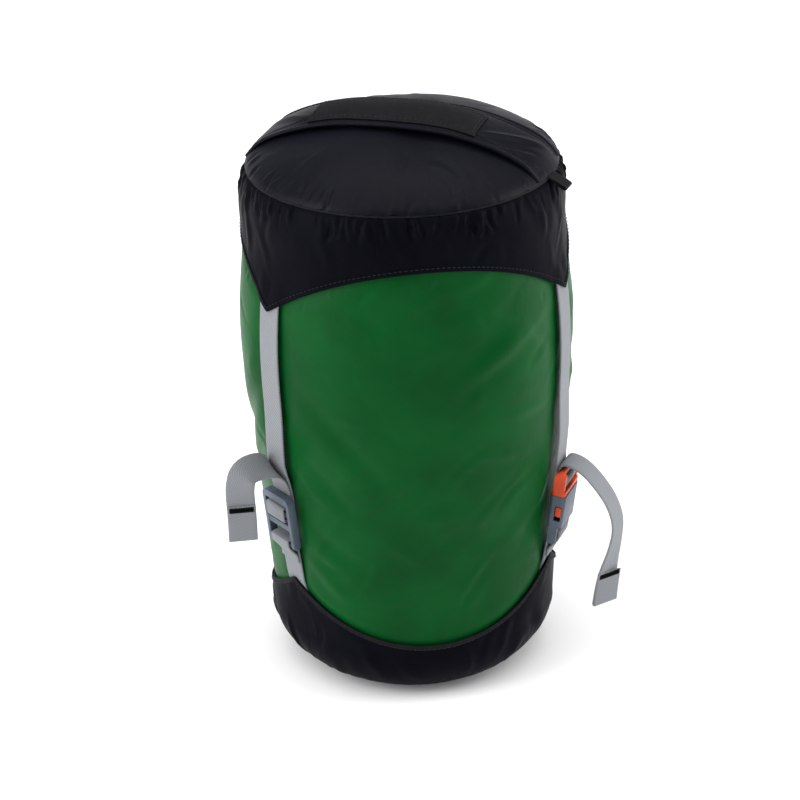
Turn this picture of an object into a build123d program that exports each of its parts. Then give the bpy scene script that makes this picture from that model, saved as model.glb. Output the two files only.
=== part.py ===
from build123d import *
import math
import os

# Compression sack, standing on its base. Millimetres, +Z up, origin at the centre of the flat foot.
# Angles round the sack are measured from the front (-Y) towards +X.

# ---- the stuffed wall: its outer radius at named heights
belly_radius = 86.4           # the widest place, just under the lid's points: sets the girth
brim_height = 266.0           # the wall's upper edge: sets the height
foot_taper, hip_taper, waist_taper, neck_taper, brim_taper = 11.0, 7.6, 2.5, 4.1, 5.1
corner_radius = 31.0
lid_point_lap, lid_dip_lap = 45.0, 13.0       # from the brim down to the lid's points and dips
belly_drop, neck_drop = 57.0, 16.0            # from the brim down to the belly and neck
foot_radius, foot_height = belly_radius - foot_taper, corner_radius
hip_radius, hip_height = belly_radius - hip_taper, 78.0
waist_radius, waist_height = belly_radius - waist_taper, 136.0
belly_height = brim_height - belly_drop
neck_in_radius, neck_in_height = belly_radius - neck_taper, brim_height - neck_drop
brim_radius = belly_radius - brim_taper
wall = 1.2                                    # coated nylon with its seam allowance
tape_width, tape_thickness = 12.0, 0.8        # tape over the seams inside
tape_end = 2.0                                # how far it stops below the collar

# ---- base cup
base_wall = 1.2
base_gap = 0.1
base_point_height = 65.0      # scallop points at the straps
base_dip_height = 37.0        # scallop middle between straps
base_seam_inset = 17.4        # from the foot in to the seam between side band and bottom disc
base_seam_radius = foot_radius - base_seam_inset
base_tape_width, base_tape_height = 1.2, 6.0
base_tape_inset = 1.0         # from the bottom seam
base_tape_lift = 0.5          # over the disc's inside
lap = 8.0                     # how far the wall reaches down inside the cup
hem_width = 3.5
hem_thickness = 0.5

# ---- lid
lid_wall = 1.0
lid_gap = 0.3
lid_point_height = brim_height - lid_point_lap
lid_dip_height = brim_height - lid_dip_lap
rim_taper, rim_rise = 0.9, 15.0               # from the brim in and up to the rim seam
rim_radius, rim_height = brim_radius - rim_taper, brim_height + rim_rise
lid_side_bulge, lid_side_drop = 0.9, 11.0     # over the neck, and below the rim seam
lid_side_radius, lid_side_height = neck_in_radius + lid_side_bulge, rim_height - lid_side_drop
dome_height = 20.6            # crown of the lid above its rim seam
dome_flat_radius = 30.0       # nearly level middle of the crown
dome_flat_drop = 0.9          # how far it has come down there
dome_shoulder_inset = 10.4    # from the rim seam to where the crown turns down to it
dome_shoulder_radius = rim_radius - dome_shoulder_inset
dome_shoulder_drop = 11.6
dome_start_slope, dome_end_slope = (1, 0, 0), (0.62, 0, -1)
rim_tape_radius = 1.0
rim_tape_gap, rim_tape_drop = 0.2, 0.6        # inside the wall, and below the rim seam
lid_reach = 4.0               # how far the lid's line is drawn below its points

# ---- grab handle, label patch and size tag on the lid
handle_angle = 64.0           # direction of the handle's length
handle_width = 38.0
handle_thickness = 1.5
handle_rise = 5.4             # finger gap over the crown
handle_gap = 0.1              # at its ends, where it is sewn in
handle_overhang = 2.0         # past the rim seam
patch_length, patch_width, patch_thickness = 88.0, 26.0, 0.6
patch_offset = -4.0
tag_length, tag_width, tag_thickness, tag_droop = 9.0, 9.0, 1.2, 38.0
tag_standoff, tag_drop = 1.2, 0.2             # from the rim seam

# ---- mouth: gathered collar, hem channel, drawcord and cord lock
collar_gap = 0.3
collar_wall = 1.0
collar_lap = 14.0
collar_top = brim_height + 10.5
collar_rise = 2.0
shoulder_radius = 14.0
throat_radius = 20.2
throat_height = 4.7
throat_bend = 2.0
cord_radius = 1.3
cord_channel_play, cord_gap = 0.4, 0.8        # round the cord in its channel, and between its two legs
channel_bore, channel_wall = cord_radius + cord_channel_play, 1.2
cord_spacing = 2 * cord_radius + cord_gap
cord_reach = 50.0
cord_hole_play = 0.3
eyelet_flange, eyelet_length = 0.7, 1.4
lock_angle = 150.0
lock_distance = 36.0
lock_radius, lock_bore = 5.8, 4.6
lock_stroke = 3.0
lock_web = 1.5
lock_play = 0.2
lock_floor = 1.2
lock_brim = 1.5               # barrel's rim past the cord slot
lock_rounding = 1.5
button_head, button_rounding = 3.0, 1.0
spring_length = 6.0
spring_wire = 0.35
spring_turns = 4
spring_play = 1.2             # between its wire's middle and the bore
knot_radius = 3.6

# ---- straps
strap_angles = {"front_left": -60.0, "front_right": 60.0, "rear": 180.0}
strap_width = 15.0
strap_thickness = 1.4
strap_gap = 0.3
sewn_length = 12.0            # stitched-back end of a webbing loop
sewn_rise = 4.0               # how far it runs up past the wall leg's end
loop_share = 0.97             # of the loop's radius that its bends use
strap_rest = 0.1              # between an upper strap and its tail
tail_fold = 20.0              # folded-over end of a strap tail
fold_share = 0.6              # most of the last run that the fold takes
stitch_height, stitch_thickness = 2.4, 0.5
stitch_inset = 0.5            # from each edge of the webbing

# ---- buckles
ladder_height = 90.0          # axis of the ladder lock's lower bar
ladder_play = 0.5             # between its loop of webbing and the wall's webbing
ladder_lean = 6.0             # outward lean of the buckle, degrees
ladder_thickness = 4.5
ladder_length = 29.0
release_height = 80.0         # axis of the side-release buckle's lower bar
release_play = 1.0
release_lean = 8.0
release_thickness = 8.6
bar_radius = 1.9
loop_play = 0.4               # between a bar and its loop
loop_radius = bar_radius + strap_thickness / 2 + loop_play    # the loop's centre line
ladder_standoff = loop_radius + strap_gap + strap_thickness / 2 + ladder_play      # wall to the bar's axis
release_standoff = loop_radius + strap_gap + strap_thickness / 2 + release_play
rail_width, rail_play = 2.6, 1.4              # side rails, and from them to the webbing
buckle_width = strap_width + 2 * (rail_width + rail_play)
female_start, female_end = 7.5, 27.0
shell_wall, shell_side, shell_floor = 1.1, 1.6, 2.0
shell_rounding = 2.4
female_rail_inset, male_rail_inset, collar_inset = 1.9, 1.3, 0.4    # under the barrel's faces
collar_rounding = 2.0
window_start, window_end = 12.0, 21.0
male_gap = 0.3
male_collar = 2.7
male_length = 14.0            # from the female's mouth to the top bar's far side
guide_front = -0.1            # back face of the plug's tongue, in front of the bar's axis
tongue_play = 0.1
tongue_thickness = release_thickness / 2 - shell_wall - tongue_play - guide_front
guide_width = 4.4
arm_root, arm_width = 6.4, 1.8
arm_tip, arm_heel = 12.0, 0.8  # its lower end, and how far it runs past its pivot
pad_play, pad_inset, pad_ramp = 0.8, 0.4, 1.0
top_bar_radius, middle_bar_radius = 1.5, 1.3

ladder_bar_low, ladder_bar_high = (9.0, 12.5), (17.5, 20.5)
ladder_arch = 24.5            # lower side of the wide top bar
ladder_corner = 4.0
bar_inset_back, bar_inset_front = 0.5, 0.3
middle_bar = 34.6
arm_pivot = 26.2
play_behind, play_front = 0.15, 0.25          # between the ladder lock and the webbing round it
ladder_behind = ladder_thickness / 2 + strap_thickness / 2 + play_behind
ladder_under = (ladder_bar_low[1] + ladder_bar_high[0]) / 2
ladder_front = ladder_thickness / 2 + strap_thickness / 2 + play_front
plug_behind, plug_under, plug_front = 0.5, 0.5, 0.8                 # between the plug's bars and the webbing
release_behind = top_bar_radius + strap_thickness / 2 + plug_behind
release_under = middle_bar - middle_bar_radius - strap_thickness / 2 - plug_under
release_front = top_bar_radius + strap_thickness / 2 + plug_front
tight_turn = 1.2              # webbing's turn round a buckle's bar
meet_above = 22.0             # from a buckle's top to where its strap lies on the wall

EAST = 90.0                   # angle of the +X half-plane in which profiles are drawn
FULL = 400.0                  # larger than the sack, for cutting tools
UP = Vector(0, 0, 1)


# ---------------------------------------------------------------- helpers
def outward(angle):
    """Unit vector pointing out of the sack at an angle from the front."""
    a = math.radians(angle)
    return Vector(math.sin(a), -math.cos(a), 0)


def sideways(angle):
    """Unit vector round the sack at an angle from the front."""
    a = math.radians(angle)
    return Vector(math.cos(a), math.sin(a), 0)


def wall_line(offset=0.0):
    """The wall's outer line in the XZ plane, moved outwards by offset."""
    stations = [
        (foot_radius, foot_height), (hip_radius, hip_height), (waist_radius, waist_height),
        (belly_radius, belly_height), (neck_in_radius, neck_in_height), (brim_radius, brim_height),
    ]
    return Spline(*[(r + offset, 0, z) for r, z in stations])


def wall_radius(height):
    """Outer radius of the wall at a height."""
    line = wall_line()
    low, high = 0.0, 1.0
    for _ in range(40):
        middle = (low + high) / 2
        if (line @ middle).Z < height:
            low = middle
        else:
            high = middle
    return (line @ low).X


def face_between(outer, inner):
    """Face in the XZ plane between two chains of edges that run the same way."""
    first, last = (outer[0] @ 0, inner[0] @ 0), (outer[-1] @ 1, inner[-1] @ 1)
    return make_face([*outer, *inner, Line(*first), Line(*last)])


def turned(face, start=None, arc=360.0):
    """Solid of revolution of a face in the XZ plane, whole or from one angle round by arc."""
    if start is not None:
        face = Rot(0, 0, start - EAST) * face
    return revolve(face, Axis.Z, revolution_arc=arc)


def wall_layer(inside, outside):
    """The whole turned wall between two offsets from its outer line."""
    return turned(face_between([wall_line(outside).edge()], [wall_line(inside).edge()]))


def slab(low, high):
    """Everything between two heights."""
    return Pos(0, 0, (low + high) / 2) * Box(FULL, FULL, high - low)


def strip(angle, width, reach=FULL / 2):
    """Everything within half a width of the plane through the axis at an angle, on that side only."""
    block = Box(width, reach, FULL * 2, align=(Align.CENTER, Align.MAX, Align.CENTER))
    return Rot(0, 0, angle) * block


def scallops(point_height, dip_height, radius, floor=-10.0):
    """Everything under a scalloped edge: points at the straps, one arc from point to point."""
    half = radius * math.sin(math.radians(60))
    edge = ThreePointArc((-half, point_height), (0, dip_height), (half, point_height))
    box = [Line((-half, point_height), (-half, floor)), Line((-half, floor), (half, floor)),
           Line((half, floor), (half, point_height))]
    profile = Plane.XZ * make_face([edge.edge(), *[side.edge() for side in box]])
    third = extrude(profile, FULL / 2)
    wedge = Pos(0, 0, floor) * extrude(make_face(Polyline(
        (0, 0), (-FULL * math.sin(math.radians(60)), -FULL / 2),
        (FULL * math.sin(math.radians(60)), -FULL / 2), close=True)), FULL)
    third = third & wedge
    return [Rot(0, 0, turn) * third for turn in (0, 120, 240)]


def fused(shapes):
    """One part from several that touch or overlap."""
    first, *rest = shapes
    return first.fuse(*rest).clean() if rest else first


def under(layer, tools):
    """The piece of a layer under a scalloped edge."""
    return fused([layer & tool for tool in tools])


def above(layer, tools):
    """The piece of a layer above a scalloped edge."""
    for tool in tools:
        layer = layer - tool
    return layer


def ribbon(points, radii, angle, width=strap_width, thickness=strap_thickness):
    """Webbing that follows points (radius, height) in the plane at an angle, with rounded turns."""
    line = FilletPolyline(*points, radius=radii) if radii else Line(*points)
    face = trace(line, thickness)
    plane = Plane(origin=(0, 0, 0), x_dir=outward(angle), z_dir=-sideways(angle))
    return extrude(plane * face, width / 2, both=True)


class Seat:
    """The place of a buckle: its lower bar's axis, and its lean away from the wall."""

    def __init__(self, angle, height, standoff, lean):
        self.angle, self.height, self.lean = angle, height, math.radians(lean)
        self.radius = wall_radius(height) + standoff
        out, up = outward(angle), UP
        self.front = out * math.cos(self.lean) - up * math.sin(self.lean)
        self.along = up * math.cos(self.lean) + out * math.sin(self.lean)
        self.origin = out * self.radius + up * height
        self.plane = Plane(origin=self.origin, x_dir=sideways(angle), z_dir=self.front)

    def point(self, front, along):
        """(radius, height) of a point given by its distances in front of and along from the axis."""
        return (
            self.radius + front * math.cos(self.lean) + along * math.sin(self.lean),
            self.height + along * math.cos(self.lean) - front * math.sin(self.lean),
        )

    def place(self, shape):
        """A shape drawn with X round the sack, Y along the buckle and Z to its front, put in place."""
        return self.plane.location * shape


def block(x, y, z):
    """Box between two values in X, Y and Z."""
    low, high = (Vector(*[pair[k] for pair in (x, y, z)]) for k in (0, 1))
    return Pos(*((low + high) / 2)) * Box(*(high - low))


def bar(radius, along, length, front=0.0):
    """Round bar across a buckle."""
    return Pos(0, along, front) * Rot(0, 90, 0) * Cylinder(radius, length)


# ---------------------------------------------------------------- base
def cup_centre():
    """Centre of the round corner between the cup's side and its bottom."""
    return Vector(foot_radius + base_gap + base_wall - corner_radius, 0, corner_radius)


def cup_corner(radius, low, high):
    """Arc of the cup's round corner between two turns from straight down."""
    ways = [Vector(math.sin(turn), 0, -math.cos(turn)) for turn in (low, (low + high) / 2, high)]
    return ThreePointArc(*[cup_centre() + way * radius for way in ways]).edge()


def seam_turn():
    """Turn round the corner at which the bottom seam lies."""
    return math.asin((base_seam_radius - cup_centre().X) / corner_radius)


def base_side_line(offset):
    """Line of the base cup's side from its bottom seam, round the corner and up the wall."""
    radius = corner_radius - base_gap - base_wall + offset
    return [cup_corner(radius, seam_turn(), math.pi / 2), wall_line(offset).edge()]


def base_tools(raised=0.0):
    return scallops(base_point_height + raised, base_dip_height + raised, hip_radius + 1)


def base_side():
    outer, inner = base_side_line(base_gap + base_wall), base_side_line(base_gap)
    return under(turned(face_between(outer, inner)), base_tools())


def base_disc():
    def bottom(radius):
        height = corner_radius - radius
        flat = Line((0, 0, height), (cup_centre().X, 0, height))
        return [flat.edge(), cup_corner(radius, 0, seam_turn())]

    return turned(face_between(bottom(corner_radius), bottom(corner_radius - base_wall)))


def base_seam_tape():
    """Tape that binds the bottom seam's allowance, standing up inside the cup."""
    outer = base_seam_radius - base_tape_inset
    ring = Cylinder(outer, base_tape_height) - Cylinder(outer - base_tape_width, base_tape_height)
    disc = corner_radius - math.sqrt((corner_radius - base_wall) ** 2 - (outer - cup_centre().X) ** 2)
    return Pos(0, 0, disc + base_tape_lift + base_tape_height / 2) * ring


def base_hem():
    outer = base_gap + base_wall
    inner_line, outer_line = base_side_line(outer), base_side_line(outer + hem_thickness)
    layer = turned(face_between(outer_line, inner_line))
    return above(under(layer, base_tools()), base_tools(-hem_width))


# ---------------------------------------------------------------- wall
def body_panel(middle):
    """A third of the wall, from strap line to strap line, with its lower edge inside the base cup."""
    face = face_between([wall_line(0).edge()], [wall_line(-wall).edge()])
    return above(turned(face, middle - 60, 120), base_tools(-lap))


def seam_tapes():
    """Tapes over the three seams inside the wall, up to the collar."""
    top = brim_height - collar_lap - tape_end
    layer = wall_layer(-wall - tape_thickness, -wall) & slab(base_point_height, top)
    tapes = [layer & strip(angle, tape_width) for angle in strap_angles.values()]
    return Compound([solid for piece in tapes for solid in piece.solids()])


# ---------------------------------------------------------------- mouth
def collar_line(offset):
    """Line of the collar from its lap inside the wall, over the shoulder to the throat."""
    side = brim_radius - wall - collar_gap - offset
    throat = throat_radius - offset
    top = collar_top - offset
    foot = brim_height - collar_lap
    neck = collar_top + collar_rise + throat_height
    points = [(side, 0, foot), (side, 0, top), (throat, 0, top + collar_rise), (throat, 0, neck)]
    return FilletPolyline(*points, radius=[shoulder_radius - offset, throat_bend + offset]).edges()


def mouth_collar():
    return turned(face_between(collar_line(0), collar_line(collar_wall)))


def channel_centre():
    """(radius, height) of the drawcord's ring in its channel."""
    outer = channel_bore + channel_wall
    return throat_radius - collar_wall / 2, collar_top + collar_rise + throat_height + outer


def cord_legs(radius, start, end):
    """Two straight runs side by side out of the channel, as far as the cord lock and knot."""
    _, height = channel_centre()
    legs = []
    for side in (-1, 1):
        leg = Cylinder(radius, end - start, align=(Align.CENTER, Align.CENTER, Align.MIN))
        centre = outward(lock_angle) * start + sideways(lock_angle) * (side * cord_spacing / 2) + UP * height
        legs.append(Plane(origin=centre, z_dir=outward(lock_angle)).location * leg)
    return legs


def mouth_hem():
    radius, height = channel_centre()
    tube = Torus(radius, channel_bore + channel_wall) - Torus(radius, channel_bore)
    return Pos(0, 0, height) * tube - cord_legs(cord_radius + cord_hole_play, radius, cord_reach)


def eyelets():
    radius, _ = channel_centre()
    start = radius + channel_bore + channel_wall
    hole = cord_radius + cord_hole_play
    plate = cord_legs(hole + eyelet_flange, start, start + eyelet_length)
    return fused(plate) - cord_legs(hole, start - 1, start + eyelet_length + 1)


def drawcord():
    radius, height = channel_centre()
    inset = math.sqrt(radius ** 2 - (cord_spacing / 2) ** 2)
    knot = outward(lock_angle) * cord_reach + UP * height
    pieces = [Pos(0, 0, height) * Torus(radius, cord_radius), *cord_legs(cord_radius, inset, cord_reach),
              Pos(*knot) * Sphere(knot_radius)]
    return fused(pieces)


def lock_plane():
    """Frame of the cord lock: Z along its barrel towards the button, X along the cord."""
    _, height = channel_centre()
    origin = outward(lock_angle) * lock_distance + UP * height
    return Plane(origin=origin, x_dir=outward(lock_angle), z_dir=sideways(lock_angle))


def slot_end():
    """How far the cord slot reaches from the middle of the lock."""
    return cord_spacing / 2 + cord_radius + cord_hole_play


def cord_slot(low, high):
    return block((-2 * lock_radius, 2 * lock_radius),
                 (-cord_radius - cord_hole_play, cord_radius + cord_hole_play), (low, high))


def cord_lock_body():
    end = slot_end()
    web = -end - lock_web
    bottom = web - spring_length - lock_play
    mouth = end + lock_brim
    barrel = Pos(0, 0, (bottom - lock_floor + mouth) / 2) * Cylinder(lock_radius, mouth - bottom + lock_floor)
    barrel = fillet(barrel.edges().group_by(Axis.Z)[0], lock_rounding)
    bore = Pos(0, 0, (bottom + mouth + 1) / 2) * Cylinder(lock_bore, mouth + 1 - bottom)
    return lock_plane().location * (barrel - bore - cord_slot(-end, end))


def cord_lock_button():
    end = slot_end()
    web = -end - lock_web
    head = end + lock_stroke + button_head
    plunger = Pos(0, 0, (web + head) / 2) * Cylinder(lock_bore - lock_play, head - web)
    plunger = fillet(plunger.edges().group_by(Axis.Z)[-1], button_rounding)
    return lock_plane().location * (plunger - cord_slot(-end, end + lock_stroke))


def cord_lock_spring():
    web = -slot_end() - lock_web
    height = spring_length - 2 * spring_wire
    coil = Helix(pitch=height / spring_turns, height=height, radius=lock_bore - spring_play)
    wire = sweep(Plane(origin=coil @ 0, z_dir=coil % 0) * Circle(spring_wire), path=coil)
    return lock_plane().location * Pos(0, 0, web - spring_length + spring_wire) * wire


# ---------------------------------------------------------------- lid
def lid_tools(raised=0.0):
    return scallops(lid_point_height + raised, lid_dip_height + raised, belly_radius + 2.5)


def lid_side_line(offset):
    """Line of the lid's side from under its points up to the rim seam."""
    low = lid_point_height - lid_reach
    stations = [(wall_radius(z) + lid_gap, z) for z in (low, (low + neck_in_height) / 2, neck_in_height)]
    stations += [(lid_side_radius - lid_wall, lid_side_height), (rim_radius - lid_wall, rim_height)]
    return [Spline(*[(r + offset, 0, z) for r, z in stations]).edge()]


def lid_side():
    return above(turned(face_between(lid_side_line(lid_wall), lid_side_line(0))), lid_tools())


def lid_hem():
    layer = turned(face_between(lid_side_line(lid_wall + hem_thickness), lid_side_line(lid_wall)))
    return under(above(layer, lid_tools()), lid_tools(hem_width))


def crown_line(offset, rise=0.0):
    """Line of the lid's crown from the middle out to the rim seam."""
    top = rim_height + dome_height + offset + rise
    points = [
        (0, 0, top), (dome_flat_radius, 0, top - dome_flat_drop),
        (dome_shoulder_radius, 0, rim_height + dome_height - dome_shoulder_drop + offset),
        (rim_radius, 0, rim_height + offset),
    ]
    return [Spline(*points, tangents=[dome_start_slope, dome_end_slope]).edge()]


def lid_disc():
    return turned(face_between(crown_line(lid_wall), crown_line(0)))


def lid_rim_tape():
    """Bound allowance of the rim seam, inside the lid."""
    radius = rim_radius - lid_wall - rim_tape_radius - rim_tape_gap
    return Pos(0, 0, rim_height - rim_tape_radius - rim_tape_drop) * Torus(radius, rim_tape_radius)


def handle_layer(inside, outside):
    """Turned layer over the crown that the handle and its patch are cut from."""
    upper, lower = (crown_line(lid_wall + handle_gap + side, handle_rise) for side in (outside, inside))
    return turned(face_between(upper, lower))


def across_lid(length, width, offset=0.0):
    """Block over the lid, its length along the handle, moved sideways towards the back by offset."""
    return Rot(0, 0, handle_angle - EAST) * Pos(0, offset, rim_height) * Box(length, width, 4 * dome_height)


def grab_handle():
    return handle_layer(0, handle_thickness) & across_lid(2 * (rim_radius + handle_overhang), handle_width)


def label_patch():
    layer = handle_layer(handle_thickness, handle_thickness + patch_thickness)
    return layer & across_lid(patch_length, patch_width, patch_offset)


def size_tag():
    """Folded tag held in the rim seam beside the handle's end."""
    leaf = Box(tag_length, tag_width, tag_thickness, align=(Align.MIN, Align.CENTER, Align.CENTER))
    out = outward(strap_angles["front_right"])
    lean = Plane(origin=out * (rim_radius + tag_standoff) + UP * (rim_height - tag_drop), x_dir=out, z_dir=UP)
    return lean.location * Rot(0, tag_droop, 0) * leaf


# ---------------------------------------------------------------- straps
def upper_strap(angle, end_height):
    """Webbing from the lid's point down to a buckle, clear of the wall it lies over."""
    first = strap_angles["front_right"]
    layer = wall_layer(strap_gap, strap_gap + strap_thickness) & slab(end_height, brim_height)
    return Rot(0, 0, angle - first) * under(layer & strip(first, strap_width), lid_tools())


def eased(points, tight, tight_radius):
    """Radii for a ribbon's turns: as large as its runs allow, except at the tight ones."""
    radii = []
    for k in range(1, len(points) - 1):
        before, here, after = (Vector(*points[j]) for j in (k - 1, k, k + 1))
        turn = 180 - (before - here).get_angle(after - here)
        run = min((before - here).length, (after - here).length)
        radii.append(tight_radius if k in tight else 0.45 * run / math.tan(math.radians(turn) / 2))
    return radii


def lower_strap(seat):
    """Webbing from the base cup's point, round the buckle's lower bar and sewn back on itself."""
    lies = strap_gap + strap_thickness / 2
    straight = seat.height - sewn_length - loop_radius
    foot = min(base_point_height, straight) - sewn_length
    back = [(wall_radius(h) + lies, h) for h in (foot, straight)]
    side = loop_radius + strap_thickness
    loop = [seat.point(-loop_radius, -side), seat.point(-loop_radius, loop_radius),
            seat.point(loop_radius, loop_radius), seat.point(loop_radius, -side)]
    join, end = straight + sewn_rise, straight + sewn_rise - sewn_length
    sewn = [(wall_radius(h) + lies + strap_thickness + strap_gap, h) for h in (join, end)]
    points = back + loop + sewn
    first = len(back) + 1
    radii = eased(points, (first, first + 1), loop_share * loop_radius)
    return above(ribbon(points, radii, seat.angle), base_tools())


def tail_points(seat, behind, under_bar, front, over_bar, arc):
    """Route of a strap's end: off the wall, behind the buckle, forwards under a bar, up over it and away."""
    meet = meet_height(seat, over_bar)
    return [
        (wall_radius(meet) + strap_gap + strap_thickness / 2, meet), seat.point(-behind, over_bar),
        seat.point(-behind, under_bar), seat.point(front, under_bar), seat.point(front, over_bar), *arc,
    ]


def meet_height(seat, over_bar):
    """Height at which the upper strap goes over into the strap's end."""
    return seat.point(0, over_bar)[1] + meet_above


def folded_end(points, angle):
    """Second layer of webbing on the outer face of a tail's last run."""
    before, end = (Vector(*p) for p in points[-2:])
    run = (before - end).normalized()
    out = Vector(run.Y, -run.X)
    shift = out * strap_thickness
    length = min(tail_fold, fold_share * (before - end).length)
    leaf = ribbon([tuple(end + shift)[:2], tuple(end + shift + run * length)[:2]], None, angle)
    return leaf, out, run, end, length


def strap_tail(seat, points):
    """The strap's end as one piece of webbing with its end folded double."""
    radii = eased(points, (2, 3), tight_turn)
    fold = folded_end(points, seat.angle)[0]
    return fused([ribbon(points, radii, seat.angle), fold])


def tail_stitch(seat, points):
    """Bar of stitches across a tail's folded end, on its outer face."""
    _, out, run, end, length = folded_end(points, seat.angle)
    middle = end + out * (1.5 * strap_thickness + stitch_thickness / 2) + run * (length - stitch_height)
    ends = [tuple(middle + run * (side * stitch_height / 2))[:2] for side in (-1, 1)]
    return ribbon(ends, None, seat.angle, strap_width - 2 * stitch_inset, stitch_thickness)


# ---------------------------------------------------------------- buckles
def webbing_rails(low, high, half):
    """The two side rails that carry a buckle's bars, as thick as twice half."""
    outer = buckle_width / 2
    spans = [(-outer, rail_width - outer), (outer - rail_width, outer)]
    return [block(span, (low, high), (-half, half)) for span in spans]


def rail_ends(along, radius):
    """Round ends of the two side rails."""
    middle = (buckle_width - rail_width) / 2
    return [Pos(side * middle, along, 0) * Rot(0, 90, 0) * Cylinder(radius, rail_width) for side in (-1, 1)]


def ladder_lock(seat):
    """Ladder-shaped slider: a round lower bar, two flat bars and a wide arched bar."""
    half = ladder_thickness / 2
    outer = buckle_width / 2
    rails = webbing_rails(0, ladder_arch + 1, half)
    bars = [bar(bar_radius, 0, buckle_width)]
    for span in (ladder_bar_low, ladder_bar_high):
        bars.append(block((-outer, outer), span, (-half + bar_inset_back, half - bar_inset_front)))
    bars.append(block((-outer, outer), (ladder_arch, ladder_length), (-half, half)))
    frame = fused([*rails, *rail_ends(0, half), *bars])
    corners = frame.edges().filter_by(Axis.Z).group_by(Axis.Y)[-1]
    return seat.place(fillet(corners, ladder_corner))


def female(seat):
    """Socket half of the side-release buckle: lower bar, hollow barrel and two side windows."""
    outer, half = buckle_width / 2, release_thickness / 2
    barrel = block((-outer, outer), (female_start, female_end), (-half, half))
    barrel = fillet(barrel.edges().filter_by(Axis.Y), shell_rounding)
    side, face = outer - shell_side, half - shell_wall
    inner = block((-side, side), (female_start + shell_floor, female_end + 1), (-face, face))
    window = block((-2 * outer, 2 * outer), (window_start, window_end), (guide_front - male_gap, face))
    rail = half - female_rail_inset
    rails = webbing_rails(0, female_start + 1, rail)
    shell = barrel - inner - window
    return seat.place(fused([shell, *rails, *rail_ends(0, rail), bar(bar_radius, 0, buckle_width)]))


def male(seat):
    """Plug half of the side-release buckle: collar, centre guide and two bars for the webbing."""
    outer, half = buckle_width / 2, release_thickness / 2
    base = female_end + male_gap
    top = female_end + male_length
    face, rail = half - collar_inset, half - male_rail_inset
    collar = block((-outer, outer), (base, base + male_collar), (-face, face))
    collar = fillet(collar.edges().filter_by(Axis.Y), collar_rounding)
    middle = guide_width / 2
    guide = block((-middle, middle), (arm_tip, base + 1), (guide_front, guide_front + tongue_thickness))
    rails = webbing_rails(base + male_collar - 0.5, top - top_bar_radius, rail)
    top_bar = bar(top_bar_radius, top - top_bar_radius, buckle_width)
    bars = [top_bar, bar(middle_bar_radius, middle_bar, buckle_width)]
    return seat.place(fused([collar, guide, *rails, *rail_ends(top - rail, rail), *bars]))


def latch_arm(seat, side):
    """Springy arm whose pad snaps into the socket's side window."""
    pad_low, pad_high = window_start + pad_play, window_end - pad_play
    inner, outer = arm_root - arm_width / 2, arm_root + arm_width / 2
    reach = buckle_width / 2 - pad_inset
    root = arm_pivot + arm_heel
    outline = [(inner, root), (outer, root), (outer, pad_high + pad_ramp), (reach, pad_high),
               (reach, pad_low + 2 * pad_ramp), (outer, arm_tip), (inner, arm_tip)]
    face = make_face(Polyline(*[(side * x, y) for x, y in outline], close=True))
    arm = Pos(0, 0, guide_front) * extrude(face, tongue_thickness)
    return seat.place(arm)


# ---------------------------------------------------------------- assembly
def ladder_arc(seat, start):
    """Free end of the ladder lock's strap: springs up and out, then hangs."""
    r, z = start
    steps = [(2.7, 10.5), (8.7, 20.5), (16.2, 22.5), (21.2, 14.5), (21.7, 0.5), (17.7, -18.5)]
    return [(r + dr, z + dz) for dr, dz in steps]


def release_arc(seat, start):
    """Free end of a side-release buckle's strap: out over its top, then hangs."""
    r, z = start
    steps = [(3.0, 5.0), (10.5, 3.5), (17.0, -6.5), (20.8, -20.0), (22.3, -34.5), (21.3, -50.0),
             (18.8, -66.0), (16.8, -85.0)]
    return [(r + dr, z + dz) for dr, dz in steps]


def pieces():
    """Every node's name and shape."""
    yield "base_disc", base_disc()
    yield "base_side", base_side()
    yield "base_seam_tape", base_seam_tape()
    yield "base_hem", base_hem()
    for name, middle in {"front": 0, "right": 120, "left": 240}.items():
        yield f"body_panel_{name}", body_panel(middle)
    yield "seam_tapes", seam_tapes()
    yield "mouth_collar", mouth_collar()
    yield "mouth_hem", mouth_hem()
    yield "eyelets", eyelets()
    yield "drawcord", drawcord()
    yield "cord_lock_body", cord_lock_body()
    yield "cord_lock_button", cord_lock_button()
    yield "cord_lock_spring", cord_lock_spring()
    yield "lid_disc", lid_disc()
    yield "lid_side", lid_side()
    yield "lid_hem", lid_hem()
    yield "lid_rim_tape", lid_rim_tape()
    yield "grab_handle", grab_handle()
    yield "label_patch", label_patch()
    yield "size_tag", size_tag()
    for name, angle in strap_angles.items():
        laddered = name == "front_left"
        if laddered:
            seat = Seat(angle, ladder_height, ladder_standoff, ladder_lean)
            route = ladder_behind, ladder_under, ladder_front, ladder_length - 2
            arc = ladder_arc(seat, seat.point(*route[2:]))
            yield "ladder_lock", ladder_lock(seat)
        else:
            seat = Seat(angle, release_height, release_standoff, release_lean)
            route = release_behind, release_under, release_front, female_end + male_length - 1
            arc = release_arc(seat, seat.point(*route[2:]))
            yield f"socket_{name}", female(seat)
            yield f"plug_{name}", male(seat)
            yield f"latch_arm_{name}_a", latch_arm(seat, -1)
            yield f"latch_arm_{name}_b", latch_arm(seat, 1)
        points = tail_points(seat, *route, arc)
        yield f"lower_strap_{name}", lower_strap(seat)
        yield f"upper_strap_{name}", upper_strap(angle, points[0][1] + strap_rest)
        yield f"strap_tail_{name}", strap_tail(seat, points)
        yield f"tail_stitch_{name}", tail_stitch(seat, points)


if __name__ == "__main__":
    os.makedirs("parts", exist_ok=True)
    for name, shape in pieces():
        export_step(shape, f"parts/{name}.step")
        box = shape.bounding_box()
        print(name, len(shape.solids()), round(shape.volume, 1), shape.is_valid,
              [round(v, 1) for v in (*box.min, *box.max)])
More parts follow.
